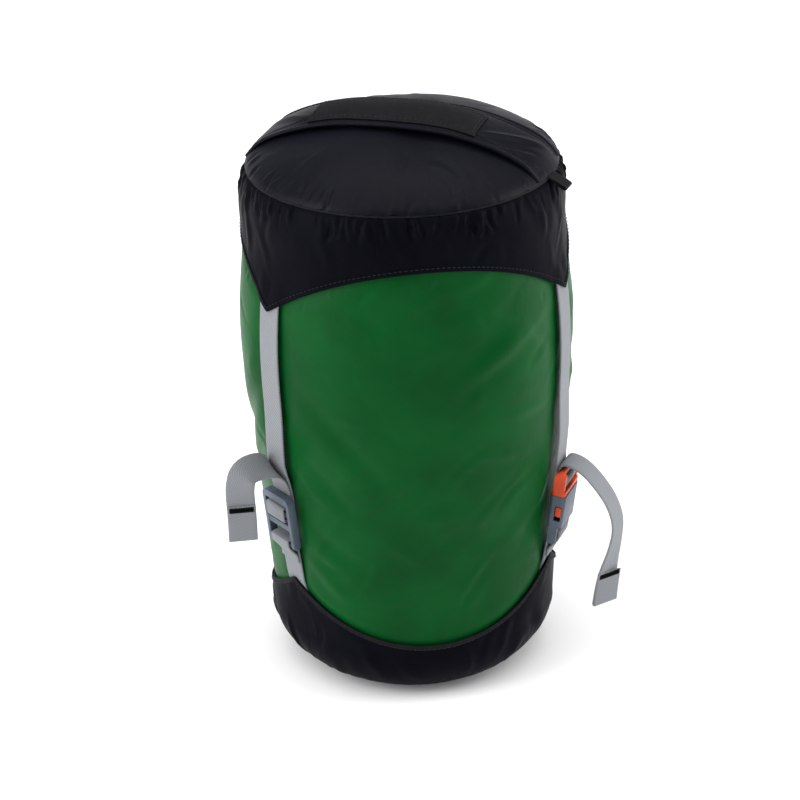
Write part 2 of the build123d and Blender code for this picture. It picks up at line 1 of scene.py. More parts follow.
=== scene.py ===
import math
import bmesh
import bpy
import numpy as np
from bpy.props import FloatProperty, FloatVectorProperty, PointerProperty
from mathutils import Matrix, Vector


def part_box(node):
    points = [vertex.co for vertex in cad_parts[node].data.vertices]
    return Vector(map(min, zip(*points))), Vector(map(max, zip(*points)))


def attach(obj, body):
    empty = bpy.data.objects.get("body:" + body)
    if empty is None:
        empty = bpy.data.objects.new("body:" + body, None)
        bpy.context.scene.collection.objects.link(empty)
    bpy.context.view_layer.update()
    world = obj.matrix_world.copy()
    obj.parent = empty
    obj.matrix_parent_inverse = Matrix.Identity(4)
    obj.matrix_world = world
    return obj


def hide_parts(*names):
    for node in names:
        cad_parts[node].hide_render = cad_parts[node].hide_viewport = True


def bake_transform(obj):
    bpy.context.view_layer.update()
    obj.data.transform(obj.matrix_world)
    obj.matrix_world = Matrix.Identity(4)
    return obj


bl_info = {
    "name": "Compression Sack",
    "version": (1, 0, 0),
    "blender": (4, 5, 0),
    "location": "3D View > Sidebar > Sack",
    "description": "A stuffed compression sack with its lid, straps and buckles, built round its frame",
    "category": "Add Mesh",
}

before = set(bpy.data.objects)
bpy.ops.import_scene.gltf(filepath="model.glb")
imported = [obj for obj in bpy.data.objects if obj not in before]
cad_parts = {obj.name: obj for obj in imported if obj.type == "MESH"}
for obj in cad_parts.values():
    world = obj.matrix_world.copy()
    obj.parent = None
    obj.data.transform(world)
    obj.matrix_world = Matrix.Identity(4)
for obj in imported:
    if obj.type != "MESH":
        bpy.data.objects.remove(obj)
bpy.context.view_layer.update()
MM = 0.001
STRAPS = {"front_left": -60.0, "front_right": 60.0, "rear": 180.0}
PANELS = {"front": 0.0, "right": 120.0, "left": 240.0}
UP = np.array([0, 0, 1.0])
HALF_PANEL = 60                                   # degrees from a panel's middle to a strap
WALL_REACH, BASE_REACH = 0.088, 0.082             # the same way in metres, on the wall and on the base
# the folds' own measures round the sack, in metres
WALL_ROUND, CUP_ROUND, DISC_ROUND, LID_ROUND, CROWN_ROUND = 0.5112, 0.50, 0.36, 0.52, 0.50
WALL_WEAVE, CUP_WEAVE, LID_WEAVE = 0.085, 0.078, 0.083     # radii at which the weave is laid round the sack
STRAP_BULGE = 0.0095                              # half width of the rise over a strap's end
WEAVE = 0.42 * MM
PATH_STEP = 0.0009                                # between the points of a strap's line
TIP_FOLD = 0.0205                                 # length of a strap's folded tip
FOLD_GAP = 0.00015                                # between the layers of that tip


# ---------------------------------------------------------------- settings
def length(name, description, default):
    return FloatProperty(name=name, description=description, default=default, unit="LENGTH", precision=5)


def lengths(name, description, default):
    return FloatVectorProperty(name=name, description=description, size=len(default), default=default,
                               unit="LENGTH", precision=5)


def turn(name, description, degrees):
    return FloatProperty(name=name, description=description, default=math.radians(degrees), subtype="ANGLE")


def colour(name, description, default):
    return FloatVectorProperty(name=name, description=description, size=3, default=default, subtype="COLOR",
                               min=0.0, max=1.0)


class SackSizes(bpy.types.PropertyGroup):
    wall_heights: lengths("Wall heights", "Heights at which the wall's radius is given",
                          (0.031, 0.078, 0.136, 0.209, 0.250, 0.266))
    wall_radii: lengths("Wall radii", "Outer radius of the wall at those heights",
                        (0.0754, 0.0788, 0.0839, 0.0864, 0.0823, 0.0813))
    wall: length("Wall", "Thickness of the wall's skin", 0.0010)
    corner: length("Base corner", "Radius of the turn between the base's side and bottom", 0.031)
    base_gap: length("Base gap", "From the wall to the base cup's outer face", 0.0013)
    base_seam: length("Bottom seam", "Radius of the seam round the bottom disc", 0.058)
    base_edge: lengths("Base edge", "Height of the base's edge midway between straps, and at them",
                       (0.037, 0.065))
    lid_edge: lengths("Lid edge", "Height of the lid's edge midway between straps, and at them",
                      (0.253, 0.222))
    lid_gap: length("Lid gap", "From the wall to the lid's outer face", 0.0013)
    rim: lengths("Rim seam", "Radius and height of the seam between the lid's side and crown",
                 (0.0804, 0.281))
    lid_belly: lengths("Lid belly", "Radius and height of the lid's side above its edge", (0.0832, 0.270))
    dome: length("Dome", "Rise of the crown over the rim seam", 0.0216)
    handle_turn: turn("Handle direction", "Direction of the grab handle's length from the front", 64)
    handle_width: length("Handle width", "Width of the grab handle", 0.038)
    handle_rise: length("Handle rise", "Finger gap under the handle", 0.0054)
    patch: lengths("Patch", "Length and width of the sewn patch, and its shift towards the back",
                   (0.088, 0.026, -0.004))
    strap: lengths("Webbing", "Width and thickness of the webbing", (0.015, 0.0012))
    strap_gap: length("Webbing gap", "From the wall to the webbing", 0.0003)
    hem: length("Hem", "Width of the lid's turned hem", 0.0030)


class SackColours(bpy.types.PropertyGroup):
    black: colour("Black nylon", "Lid, base and handle", (0.0025, 0.0027, 0.0046))
    green: colour("Green nylon", "Wall panels", (0.0002, 0.050, 0.0078))
    binding: colour("Binding", "Hems, bindings and tapes", (0.0030, 0.0030, 0.0042))
    webbing: colour("Webbing", "Straps", (0.215, 0.225, 0.24))
    grey: colour("Grey plastic", "Ladder lock and sockets", (0.060, 0.080, 0.108))
    orange: colour("Orange plastic", "Plugs and latch arms", (0.60, 0.050, 0.002))


class StudioSettings(bpy.types.PropertyGroup):
    away: length("Camera distance", "Distance of the camera from the sack's axis", 1.15)
    height: length("Camera height", "Height of the camera", 0.71)
    side: turn("Camera side", "Direction of the camera from the front", -7.5)
    pitch: turn("Camera pitch", "How far the camera looks down", 26.2)
    yaw: turn("Camera yaw", "How far the camera looks to the left of the axis", 0.227)
    roll: turn("Camera roll", "How far the camera leans", 1.7)
    lens: FloatProperty(name="Lens", description="Focal length in millimetres", default=107.96,
                        subtype="DISTANCE_CAMERA")


def settings():
    return bpy.context.scene.sack_sizes


def colours():
    return bpy.context.scene.sack_colours


# ---------------------------------------------------------------- curves and lines
def spline(xs, ys):
    """Smooth curve through points, as a function."""
    xs, ys = np.array(xs, float), np.array(ys, float)
    step = np.diff(xs)
    slope = np.diff(ys) / step
    count = len(xs)
    system, target = np.eye(count), np.zeros(count)
    for k in range(1, count - 1):
        system[k, k - 1:k + 2] = step[k - 1], 2 * (step[k - 1] + step[k]), step[k]
        target[k] = 6 * (slope[k] - slope[k - 1])
    bend = np.linalg.solve(system, target)

    def at(x):
        k = np.clip(np.searchsorted(xs, x) - 1, 0, count - 2)
        low, high, h = x - xs[k], xs[k + 1] - x, step[k]
        return ((bend[k] * high ** 3 + bend[k + 1] * low ** 3) / (6 * h)
                + (ys[k] / h - bend[k] * h / 6) * high + (ys[k + 1] / h - bend[k + 1] * h / 6) * low)

    return at


def wall_radius(height):
    """Outer radius of the smooth wall at a height."""
    s = settings()
    return spline(s.wall_heights, s.wall_radii)(np.clip(height, s.wall_heights[0], s.wall_heights[-1]))


def from_middle(angle):
    """Angle from the middle of the nearest panel, in degrees."""
    return (np.asarray(angle, float) + HALF_PANEL) % (2 * HALF_PANEL) - HALF_PANEL


def from_strap(angle, reach):
    """Way to the nearest strap, given its length from a panel's middle."""
    return (HALF_PANEL - np.abs(from_middle(angle))) / HALF_PANEL * reach


def on_strap(angle, reach, from_edge, soft):
    """From 0 to 1, how far a place near an edge lies over the end of a strap."""
    over = np.exp(-(from_strap(angle, reach) / STRAP_BULGE) ** 4)
    return over * smooth_step(0.016 - from_edge, 0, soft)


def scallop(angle, edge):
    """Height of a scalloped edge, from its height midway between the straps and at them."""
    return edge[0] + (edge[1] - edge[0]) * (from_middle(angle) / HALF_PANEL) ** 2


def lid_radius(height):
    """Outer radius of the smooth lid at a height: over the wall below, then in to the rim seam."""
    s = settings()
    low = s.lid_edge[1] - 0.006
    heights = [low, (low + 0.250) / 2, 0.250]
    radii = [float(wall_radius(z)) + s.lid_gap for z in heights]
    return spline(heights + [s.lid_belly[1], s.rim[1]], radii + [s.lid_belly[0], s.rim[0]])(height)


def crown_height(radius):
    """Height of the lid's crown at a radius."""
    s = settings()
    share = np.clip(np.asarray(radius) / s.rim[0], 0, 1)
    return s.rim[1] + s.dome * np.maximum(1 - share ** 2.6, 0) ** 0.69


def outward(angle):
    """Direction out from the axis at an angle from the front."""
    a = np.radians(angle)
    return np.stack([np.sin(a), -np.cos(a), np.zeros_like(a)], -1)


def sideways(angle):
    """Level direction round the sack at an angle from the front."""
    a = np.radians(angle)
    return np.stack([np.cos(a), np.sin(a), np.zeros_like(a)], -1)


def round_points(angle, radius, height):
    """Points at angles from the front, radii and heights."""
    a = np.radians(angle)
    return np.stack([radius * np.sin(a), -radius * np.cos(a), height + 0 * a], -1)


def flat_uvs(angle, radius):
    """Weave of a flat round piece, straight across it."""
    a = np.radians(angle)
    return np.stack([radius * np.cos(a), radius * np.sin(a)], -1)


def rounded(points, times):
    """A line with its corners cut round, end points kept."""
    points = np.array(points, float)
    for _ in range(times):
        a, b = points[:-1], points[1:]
        cut = np.stack([a * 0.75 + b * 0.25, a * 0.25 + b * 0.75], 1).reshape(-1, points.shape[1])
        points = np.vstack([points[:1], cut, points[-1:]])
    return points


def evenly(points, step):
    """The same line with its points a step apart."""
    points = np.asarray(points, float)
    run = np.concatenate([[0], np.cumsum(np.linalg.norm(np.diff(points[:, :3], axis=0), axis=1))])
    at = np.linspace(0, run[-1], max(4, int(run[-1] / step)))
    return np.stack([np.interp(at, run, points[:, k]) for k in range(points.shape[1])], -1)


# ---------------------------------------------------------------- soft relief
def fold(u, v, start, end, width, height, bow=0.0, around=None):
    """Relief of one soft fold between two places on a skin: a ridge with a hollow beside it."""
    du, dv = end[0] - start[0], end[1] - start[1]
    size = math.hypot(du, dv)
    u = u - start[0]
    if around:
        u = (u + around / 2) % around - around / 2
    v = v - start[1]
    along = (u * du + v * dv) / size ** 2
    inside = np.clip(4 * along * (1 - along), 0, None)
    across = ((u * dv - v * du) / size - bow * inside) / width
    ridge, hollow = np.exp(-across ** 2), np.exp(-(across - 1.7) ** 2 / 1.4)
    return height * np.sqrt(inside) * inside * (ridge - 0.55 * hollow)


def scattered(u, v, seed, count, place, size, lean, width, height, around):
    """Many small folds scattered over a skin, from ranges for each of their sizes."""
    rng = np.random.default_rng(seed)
    relief = np.zeros_like(u)
    for _ in range(count):
        at = [rng.uniform(*side) for side in place]
        long, angle = rng.uniform(*size), math.radians(rng.uniform(*lean))
        reach = (0.5 * long * math.cos(angle), 0.5 * long * math.sin(angle))
        w, h = rng.uniform(*width), rng.uniform(*height)
        bow = rng.uniform(-0.15, 0.15) * long
        start, end = (at[0] - reach[0], at[1] - reach[1]), (at[0] + reach[0], at[1] + reach[1])
        relief += fold(u, v, start, end, width=w, height=h * rng.choice([1, -1]), bow=bow, around=around)
    return relief


def lumps(angle, height, seed, count, turns, waves):
    """Broad soft unevenness round the sack, of about unit height."""
    rng = np.random.default_rng(seed)
    relief = np.zeros(np.broadcast(angle, height).shape)
    for _ in range(count):
        k, w = rng.integers(turns[0], turns[1] + 1), rng.uniform(*waves)
        relief += np.sin(np.radians(angle) * k + height * w + rng.uniform(0, 2 * math.pi))
    return relief / math.sqrt(count)


def smooth_step(value, low, high):
    """From 0 at low to 1 at high, with soft ends."""
    t = np.clip((value - low) / (high - low), 0, 1)
    return t * t * (3 - 2 * t)


# ---------------------------------------------------------------- meshes
def deselect():
    bpy.ops.object.select_all(action="DESELECT")


def linked(name, mesh):
    piece = bpy.data.objects.new(name, mesh)
    bpy.context.scene.collection.objects.link(piece)
    return piece


def made_active(piece):
    deselect()
    piece.select_set(True)
    bpy.context.view_layer.objects.active = piece


def apply_modifier(piece, kind, **values):
    """Gives a piece a modifier with some values set, and makes its result the mesh."""
    made_active(piece)
    modifier = piece.modifiers.new(kind.title(), kind)
    for key, value in values.items():
        setattr(modifier, key, value)
    bpy.ops.object.modifier_apply(modifier=modifier.name)


def joined_mesh(name, points, faces, uvs):
    """Mesh with a UV for each point, its coincident points joined."""
    mesh = bpy.data.meshes.new(name)
    mesh.from_pydata(points, [], faces)
    layer = mesh.uv_layers.new(name="weave")
    corners = np.zeros(len(mesh.loops), np.int32)
    mesh.loops.foreach_get("vertex_index", corners)
    layer.data.foreach_set("uv", np.asarray(uvs, np.float32)[corners].ravel())
    work = bmesh.new()
    work.from_mesh(mesh)
    bmesh.ops.remove_doubles(work, verts=work.verts, dist=2e-6)
    work.to_mesh(mesh)
    work.free()
    return mesh


def grid_faces(rows, columns):
    """Four-sided faces between the points of a grid, as the points' numbers."""
    index = np.arange(rows * columns).reshape(rows, columns)
    quads = np.stack([index[:-1, :-1], index[:-1, 1:], index[1:, 1:], index[1:, :-1]], -1)
    return quads.reshape(-1, 4).tolist()


def skin(name, points, uvs, wall):
    """Skin over a grid of points, its wall turned inwards."""
    rows, columns = points.shape[:2]
    mesh = joined_mesh(name, points.reshape(-1, 3).tolist(), grid_faces(rows, columns), uvs.reshape(-1, 2))
    piece = linked(name, mesh)
    apply_modifier(piece, "SOLIDIFY", thickness=wall, offset=-1.0)
    return piece


def tape_profile(width, thickness, steps):
    """Cross-section of webbing: flat faces and round edges, as a closed ring."""
    half, r = width / 2 - thickness / 2, thickness / 2
    flat = np.linspace(-half, half, steps)
    bend = np.radians([60, 30, 0, -30, -60])
    right = [(half + r * math.cos(t), r * math.sin(t)) for t in bend]
    left = [(-half - r * math.cos(t), -r * math.sin(t)) for t in bend]
    return np.array([(x, r) for x in flat] + right + [(x, -r) for x in flat[::-1]] + left)


def tape(name, path, across, profile, closed=False):
    """Solid of a cross-section carried along a path, given the direction of its width at each point."""
    path = np.asarray(path, float)
    across = np.broadcast_to(across, path.shape)
    if closed:
        ahead, behind = np.roll(path, -1, 0), np.roll(path, 1, 0)
        tangent = ahead - behind
    else:
        tangent = np.gradient(path, axis=0)
    tangent = tangent / np.linalg.norm(tangent, axis=1)[:, None]
    across = across - (across * tangent).sum(1)[:, None] * tangent
    across = across / np.linalg.norm(across, axis=1)[:, None]
    normal = np.cross(across, tangent)
    run = np.concatenate([[0], np.cumsum(np.linalg.norm(np.diff(path, axis=0), axis=1))])
    rows = range(len(path))
    if closed:
        run = np.append(run, run[-1] + np.linalg.norm(path[0] - path[-1]))
        rows = [*rows, 0]
    ring = np.vstack([profile, profile[:1]])
    rows = np.array(rows)
    points = (path[rows, None] + across[rows, None] * ring[None, :, :1]
              + normal[rows, None] * ring[None, :, 1:])
    uvs = np.stack(np.broadcast_arrays(ring[None, :, 0], run[:, None]), -1)
    count = len(ring)
    faces = grid_faces(len(rows), count)
    if not closed:
        faces.append(list(range(count - 1)))
        faces.append([(len(rows) - 1) * count + k for k in range(count - 2, -1, -1)])
    mesh = joined_mesh(name, points.reshape(-1, 3).tolist(), faces, uvs.reshape(-1, 2))
    work = bmesh.new()
    work.from_mesh(mesh)
    bmesh.ops.recalc_face_normals(work, faces=work.faces)
    work.to_mesh(mesh)
    work.free()
    return linked(name, mesh)


def stitches(name, path, outside, pitch=2.6 * MM, size=(1.9 * MM, 0.45 * MM, 0.35 * MM)):
    """Row of short threads along a path, lying on the side that outside points to."""
    line = evenly(np.hstack([path, np.broadcast_to(outside, np.shape(path))]), step=pitch)
    at, up = line[:, :3], line[:, 3:]
    ahead = np.gradient(at, axis=0)
    ahead = ahead / np.linalg.norm(ahead, axis=1)[:, None]
    up = up / np.linalg.norm(up, axis=1)[:, None]
    side = np.cross(ahead, up)
    half = np.array([(-1, 0, -0.3), (-0.55, 1, 0.1), (-0.55, 0, 1), (-0.55, -1, 0.1),
                     (0.55, 1, 0.1), (0.55, 0, 1), (0.55, -1, 0.1), (1, 0, -0.3)])
    half = half * np.array([size[0] / 2, size[1] / 2, size[2]])
    points = (at[:, None] + ahead[:, None] * half[None, :, :1] + side[:, None] * half[None, :, 1:2]
              + up[:, None] * half[None, :, 2:])
    shape = [(0, 1, 2), (0, 2, 3), (0, 3, 1), (1, 4, 5, 2), (2, 5, 6, 3), (3, 6, 4, 1), (7, 5, 4),
             (7, 6, 5), (7, 4, 6)]
    faces = [[8 * k + c for c in face] for k in range(len(at)) for face in shape]
    mesh = bpy.data.meshes.new(name)
    mesh.from_pydata(points.reshape(-1, 3).tolist(), [], faces)
    return linked(name, mesh)


def join_into(first, *others):
    made_active(first)
    for other in others:
        other.select_set(True)
    bpy.ops.object.join()
    return first


def finished(piece, finish, nodes=(), body=None, between=None, angle=50):
    """Gives a piece its finish and smooth shading, hides the nodes it stands for, and parents it to the body
    it moves with; for a piece between two bodies, only its transform is baked in.
    """
    piece.data.materials.clear()
    piece.data.materials.append(finish)
    made_active(piece)
    bpy.ops.object.shade_smooth_by_angle(angle=math.radians(angle))
    if between:
        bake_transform(piece)
    else:
        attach(piece, body)
    if nodes:
        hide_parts(*nodes)
    return piece


# ---------------------------------------------------------------- finishes
def shader(name, base, roughness, **values):
    """A material and its shader with the constant values set.

    The shader is None where the material is there already.
    """
    material = bpy.data.materials.get(name)
    if material:
        return material, None
    material = bpy.data.materials.new(name)
    material.use_nodes = True
    nodes = material.node_tree.nodes
    principled = nodes["Principled BSDF"]
    principled.inputs["Base Color"].default_value = (*base, 1)
    principled.inputs["Roughness"].default_value = roughness
    for key, value in values.items():
        principled.inputs[key.replace("_", " ")].default_value = value
    return material, principled


def node(material, kind, **values):
    """A shader node with its inputs or settings given by name."""
    made = material.node_tree.nodes.new(kind)
    for key, value in values.items():
        if key in made.inputs:
            made.inputs[key].default_value = value
        else:
            setattr(made, key, value)
    return made


def wire(material, start, end):
    material.node_tree.links.new(start, end)


def noise_on(material, source, scale, detail=3.0, stretch=None):
    """Noise over an output of coordinates, its scale in turns per metre."""
    if stretch:
        mapping = node(material, "ShaderNodeMapping")
        mapping.inputs["Scale"].default_value = stretch
        wire(material, source, mapping.inputs["Vector"])
        source = mapping.outputs["Vector"]
    texture = node(material, "ShaderNodeTexNoise", Scale=scale, Detail=detail)
    wire(material, source, texture.inputs["Vector"])
    return texture.outputs["Fac"]


def toned(material, principled, source, scale, dark, light):
    """Base colour that wanders between two tones."""
    ramp = node(material, "ShaderNodeValToRGB")
    ramp.color_ramp.elements[0].position, ramp.color_ramp.elements[1].position = 0.35, 0.65
    ramp.color_ramp.elements[0].color, ramp.color_ramp.elements[1].color = (*dark, 1), (*light, 1)
    wire(material, noise_on(material, source, scale=scale), ramp.inputs["Fac"])
    wire(material, ramp.outputs["Color"], principled.inputs["Base Color"])


def ranged(material, source, low, high):
    """A texture's value spread over a range."""
    spread = node(material, "ShaderNodeMapRange")
    spread.inputs["To Min"].default_value, spread.inputs["To Max"].default_value = low, high
    wire(material, source, spread.inputs["Value"])
    return spread.outputs["Result"]


def bumped(material, principled, height, strength, distance, under=None):
    """Bump from a texture's value, over another bump where one is given."""
    bump = node(material, "ShaderNodeBump", Strength=strength, Distance=distance)
    wire(material, height, bump.inputs["Height"])
    if under:
        wire(material, under, bump.inputs["Normal"])
    wire(material, bump.outputs["Normal"], principled.inputs["Normal"])
    return bump.outputs["Normal"]


def bands(material, source, period, direction, turned=0.0):
    """Even threads across a direction, a period apart."""
    mapping = node(material, "ShaderNodeMapping")
    mapping.inputs["Rotation"].default_value = (0, 0, turned)
    wire(material, source, mapping.inputs["Vector"])
    wave = node(material, "ShaderNodeTexWave", bands_direction=direction, Scale=2 * math.pi / (20 * period))
    wire(material, mapping.outputs["Vector"], wave.inputs["Vector"])
    return wave.outputs["Fac"]


def added(material, first, second, operation="ADD"):
    math_node = node(material, "ShaderNodeMath", operation=operation)
    wire(material, first, math_node.inputs[0])
    wire(material, second, math_node.inputs[1])
    return math_node.outputs["Value"]


def scaled(colour_value, factor):
    return tuple(min(1.0, c * factor) for c in colour_value)


def nylon(name, base, roughness, gloss, sheen, tint):
    """Coated nylon: a fine plain weave, small creases, and a sheen that wanders."""
    material, principled = shader(name, base, roughness=roughness, Sheen_Weight=sheen, Sheen_Roughness=0.45,
                                  Sheen_Tint=(*tint, 1), Specular_IOR_Level=gloss)
    if principled is None:
        return material
    coords = node(material, "ShaderNodeTexCoord")
    toned(material, principled, coords.outputs["Object"], scale=26.0, dark=scaled(base, 0.86),
          light=scaled(base, 1.16))
    rough = noise_on(material, coords.outputs["Object"], scale=60.0, detail=4.0)
    wire(material, ranged(material, rough, low=roughness - 0.07, high=roughness + 0.07),
         principled.inputs["Roughness"])
    crinkle = noise_on(material, coords.outputs["Object"], scale=130.0, detail=5.0,
                       stretch=(1.0, 1.0, 0.55))
    under = bumped(material, principled, crinkle, strength=0.22, distance=0.0011)
    weave = added(material, bands(material, coords.outputs["UV"], period=WEAVE, direction="X"),
                  bands(material, coords.outputs["UV"], period=WEAVE, direction="Y"))
    bumped(material, principled, weave, strength=0.16, distance=0.00006, under=under)
    return material


# Shaded copy of the black nylon: its gloss and sheen are kept low so the lid's side and the base read dark.
# The crown's copy of it is painted lighter.
def black_nylon():
    return nylon("black coated nylon", colours().black, roughness=0.42, gloss=0.012, sheen=0.002,
                 tint=(0.50, 0.58, 1.0))


# Painted light: the same black nylon as the lid's side, with its base painted 1.25 times lighter and more
# gloss and sheen, so the crown and handle read lighter, as if lit from above.
def crown_nylon_painted_lighter():
    return nylon("black coated nylon, painted lighter on top", scaled(colours().black, 1.25), roughness=0.42, gloss=0.060,
                 sheen=0.010, tint=(0.45, 0.55, 1.0))


def green_nylon():
    return nylon("green coated nylon", colours().green, roughness=0.40, gloss=0.055, sheen=0.05,
                 tint=(0.30, 1.0, 0.45))


def webbing_finish():
    """Flat webbing with a diagonal weave, a plain edge and painted shade that darkens its weave's hollows.
    """
    base = colours().webbing
    material, principled = shader("grey webbing", base, roughness=0.72, Sheen_Weight=0.10,
                                  Sheen_Roughness=0.4, Specular_IOR_Level=0.25)
    if principled is None:
        return material
    coords = node(material, "ShaderNodeTexCoord")
    left = bands(material, coords.outputs["UV"], period=1.05 * MM, direction="X", turned=math.radians(38))
    fine = bands(material, coords.outputs["UV"], period=0.55 * MM, direction="Y", turned=math.radians(-14))
    weave = added(material, left, fine, "MULTIPLY")
    # Painted shade: the colour is darker where the weave sinks, in its hollows.
    ramp = node(material, "ShaderNodeValToRGB")
    ramp.color_ramp.elements[0].color = (*scaled(base, 0.72), 1)
    ramp.color_ramp.elements[1].position, ramp.color_ramp.elements[1].color = 0.6, (*scaled(base, 1.06), 1)
    wire(material, weave, ramp.inputs["Fac"])
    wire(material, ramp.outputs["Color"], principled.inputs["Base Color"])
    fuzz = bumped(material, principled, noise_on(material, coords.outputs["Object"], scale=900.0),
                  strength=0.2, distance=0.0002)
    bumped(material, principled, weave, strength=0.6, distance=0.00022, under=fuzz)
    return material


def binding_finish():
    """Narrow ribbed tape."""
    base = colours().binding
    material, principled = shader("black binding", base, roughness=0.68, Specular_IOR_Level=0.12)
    if principled is None:
        return material
    coords = node(material, "ShaderNodeTexCoord")
    toned(material, principled, coords.outputs["Object"], scale=220.0, dark=scaled(base, 0.7),
          light=scaled(base, 1.5))
    bumped(material, principled, bands(material, coords.outputs["UV"], period=0.7 * MM, direction="Y"),
           strength=0.5, distance=0.00012)
    return material


def thread_finish():
    """Sewing thread, twisted and a little dusty."""
    base = (0.004, 0.004, 0.005)
    material, principled = shader("black thread", base, roughness=0.55, Specular_IOR_Level=0.2)
    if principled is None:
        return material
    coords = node(material, "ShaderNodeTexCoord")
    toned(material, principled, coords.outputs["Object"], scale=700.0, dark=scaled(base, 0.6),
          light=scaled(base, 2.0))
    bumped(material, principled, noise_on(material, coords.outputs["Object"], scale=2400.0), strength=0.4,
           distance=0.00008)
    return material


def moulded_plastic(name, base, roughness):
    """Moulded plastic: a fine spark-eroded grain, rubbed a little smoother in places."""
    material, principled = shader(name, base, roughness=roughness, Specular_IOR_Level=0.3)
    if principled is None:
        return material
    coords = node(material, "ShaderNodeTexCoord")
    toned(material, principled, coords.outputs["Object"], scale=90.0, dark=scaled(base, 0.88),
          light=scaled(base, 1.1))
    rub = noise_on(material, coords.outputs["Object"], scale=160.0)
    wire(material, ranged(material, rub, low=roughness - 0.1, high=roughness + 0.08),
         principled.inputs["Roughness"])
    bumped(material, principled, noise_on(material, coords.outputs["Object"], scale=2600.0, detail=2.0),
           strength=0.12, distance=0.00008)
    return material


def metal(name, base, roughness):
    """Metal, rubbed unevenly."""
    material, principled = shader(name, base, roughness=roughness, Metallic=1.0)
    if principled is None:
        return material
    coords = node(material, "ShaderNodeTexCoord")
    rub = noise_on(material, coords.outputs["Object"], scale=400.0)
    wire(material, ranged(material, rub, low=roughness - 0.08, high=roughness + 0.12),
         principled.inputs["Roughness"])
    return material


def braid():
    """Round braided cord, with painted shade in the hollows of its plait."""
    material, principled = shader("black braid", (0.012, 0.012, 0.014), roughness=0.6, Sheen_Weight=0.2)
    if principled is None:
        return material
    coords = node(material, "ShaderNodeTexCoord")
    plait = added(material,
                  bands(material, coords.outputs["Object"], period=0.9 * MM, direction="DIAGONAL"),
                  bands(material, coords.outputs["Object"], period=0.9 * MM, direction="DIAGONAL",
                        turned=math.radians(90)), "MULTIPLY")
    # Painted shade: the colour is darker in the plait's hollows than on its crossings.
    ramp = node(material, "ShaderNodeValToRGB")
    ramp.color_ramp.elements[0].color = (0.006, 0.006, 0.007, 1)
    ramp.color_ramp.elements[1].color = (0.03, 0.03, 0.034, 1)
    wire(material, plait, ramp.inputs["Fac"])
    wire(material, ramp.outputs["Color"], principled.inputs["Base Color"])
    bumped(material, principled, plait, strength=0.6, distance=0.0003)
    return material


# ---------------------------------------------------------------- wall
COMPRESS = ("sack", "mouth", (0, 0, 0.070), (0, 0, 0.195))

# long folds of the front panel: from and to, as angle from the front in degrees and height in metres,
# then width, height and bow in metres
LONG_FOLDS = [
    ((58, 0.225), (2, 0.182), 0.0050, 0.0016, 0.004),
    ((56, 0.236), (20, 0.205), 0.0060, 0.0010, 0.002),
    ((-56, 0.190), (-10, 0.118), 0.0060, -0.0015, -0.006),
    ((-14, 0.124), (38, 0.112), 0.0070, 0.0009, 0.004),
    ((-54, 0.150), (-26, 0.112), 0.0045, -0.0011, -0.002),
    ((-52, 0.112), (-18, 0.078), 0.0050, -0.0010, 0.003),
    ((-50, 0.086), (-30, 0.058), 0.0040, 0.0008, 0.001),
    ((10, 0.150), (48, 0.142), 0.0035, 0.0006, 0.001),
    ((22, 0.170), (50, 0.166), 0.0030, 0.0005, 0.001),
    ((30, 0.092), (56, 0.120), 0.0050, 0.0009, 0.002),
]


def wall_relief(angle, height):
    """How far the stuffed wall stands in or out of its smooth shape."""
    s = settings()
    span = WALL_ROUND
    u, v = angle / 360 * span, height
    relief = 0.0009 * lumps(angle, height, seed=11, count=9, turns=(2, 7), waves=(-45, 45))
    relief = relief + scattered(u, v, seed=5, count=90, place=((0, span), (0.05, 0.25)),
                                size=(0.020, 0.060), lean=(15, 60),
                                width=(0.0022, 0.0045), height=(0.0002, 0.0006), around=span)
    relief = relief + scattered(u, v, seed=7, count=70, place=((0, span), (0.05, 0.25)),
                                size=(0.015, 0.040), lean=(-50, -5),
                                width=(0.0018, 0.0040), height=(0.0002, 0.0005), around=span)
    for start, end, width, rise, bow in LONG_FOLDS:
        for turned in PANELS.values():
            flip = -1 if turned == PANELS["left"] else 1
            ends = [((flip * a + turned) % 360 / 360 * span, z) for a, z in (start, end)]
            if abs(ends[1][0] - ends[0][0]) > span / 2:
                shift = span if ends[1][0] < ends[0][0] else -span
                ends[1] = (ends[1][0] + shift, ends[1][1])
            relief = relief + fold(u, v, *ends, width, rise * (0.8 if turned else 1.0), bow, span)
    to_strap = from_strap(angle, WALL_REACH)
    below_lid = scallop(angle, s.lid_edge) - height
    over_base = height - scallop(angle, s.base_edge)
    pucker = scattered(u, v, seed=21, count=150, place=((0, span), (0.205, 0.252)),
                       size=(0.006, 0.014), lean=(65, 115),
                       width=(0.0010, 0.0018), height=(0.0002, 0.0005), around=span)
    relief = relief + pucker * smooth_step(-below_lid, -0.016, -0.004)
    belly = smooth_step(height, 0.135, 0.158) * (1 - smooth_step(height, 0.205, 0.225))
    relief = relief - (0.0016 + 0.0014 * belly) * np.exp(-(to_strap / (0.009 + 0.003 * belly)) ** 2)
    free = smooth_step(below_lid, -0.001, 0.009) * smooth_step(over_base, -0.001, 0.007)
    free = free * smooth_step(to_strap, 0.004, 0.015)
    high = np.maximum(relief, 0) * free
    low = np.minimum(relief, 0) * (0.35 + 0.65 * free)
    return high + low - 0.0004 * (1 - free)


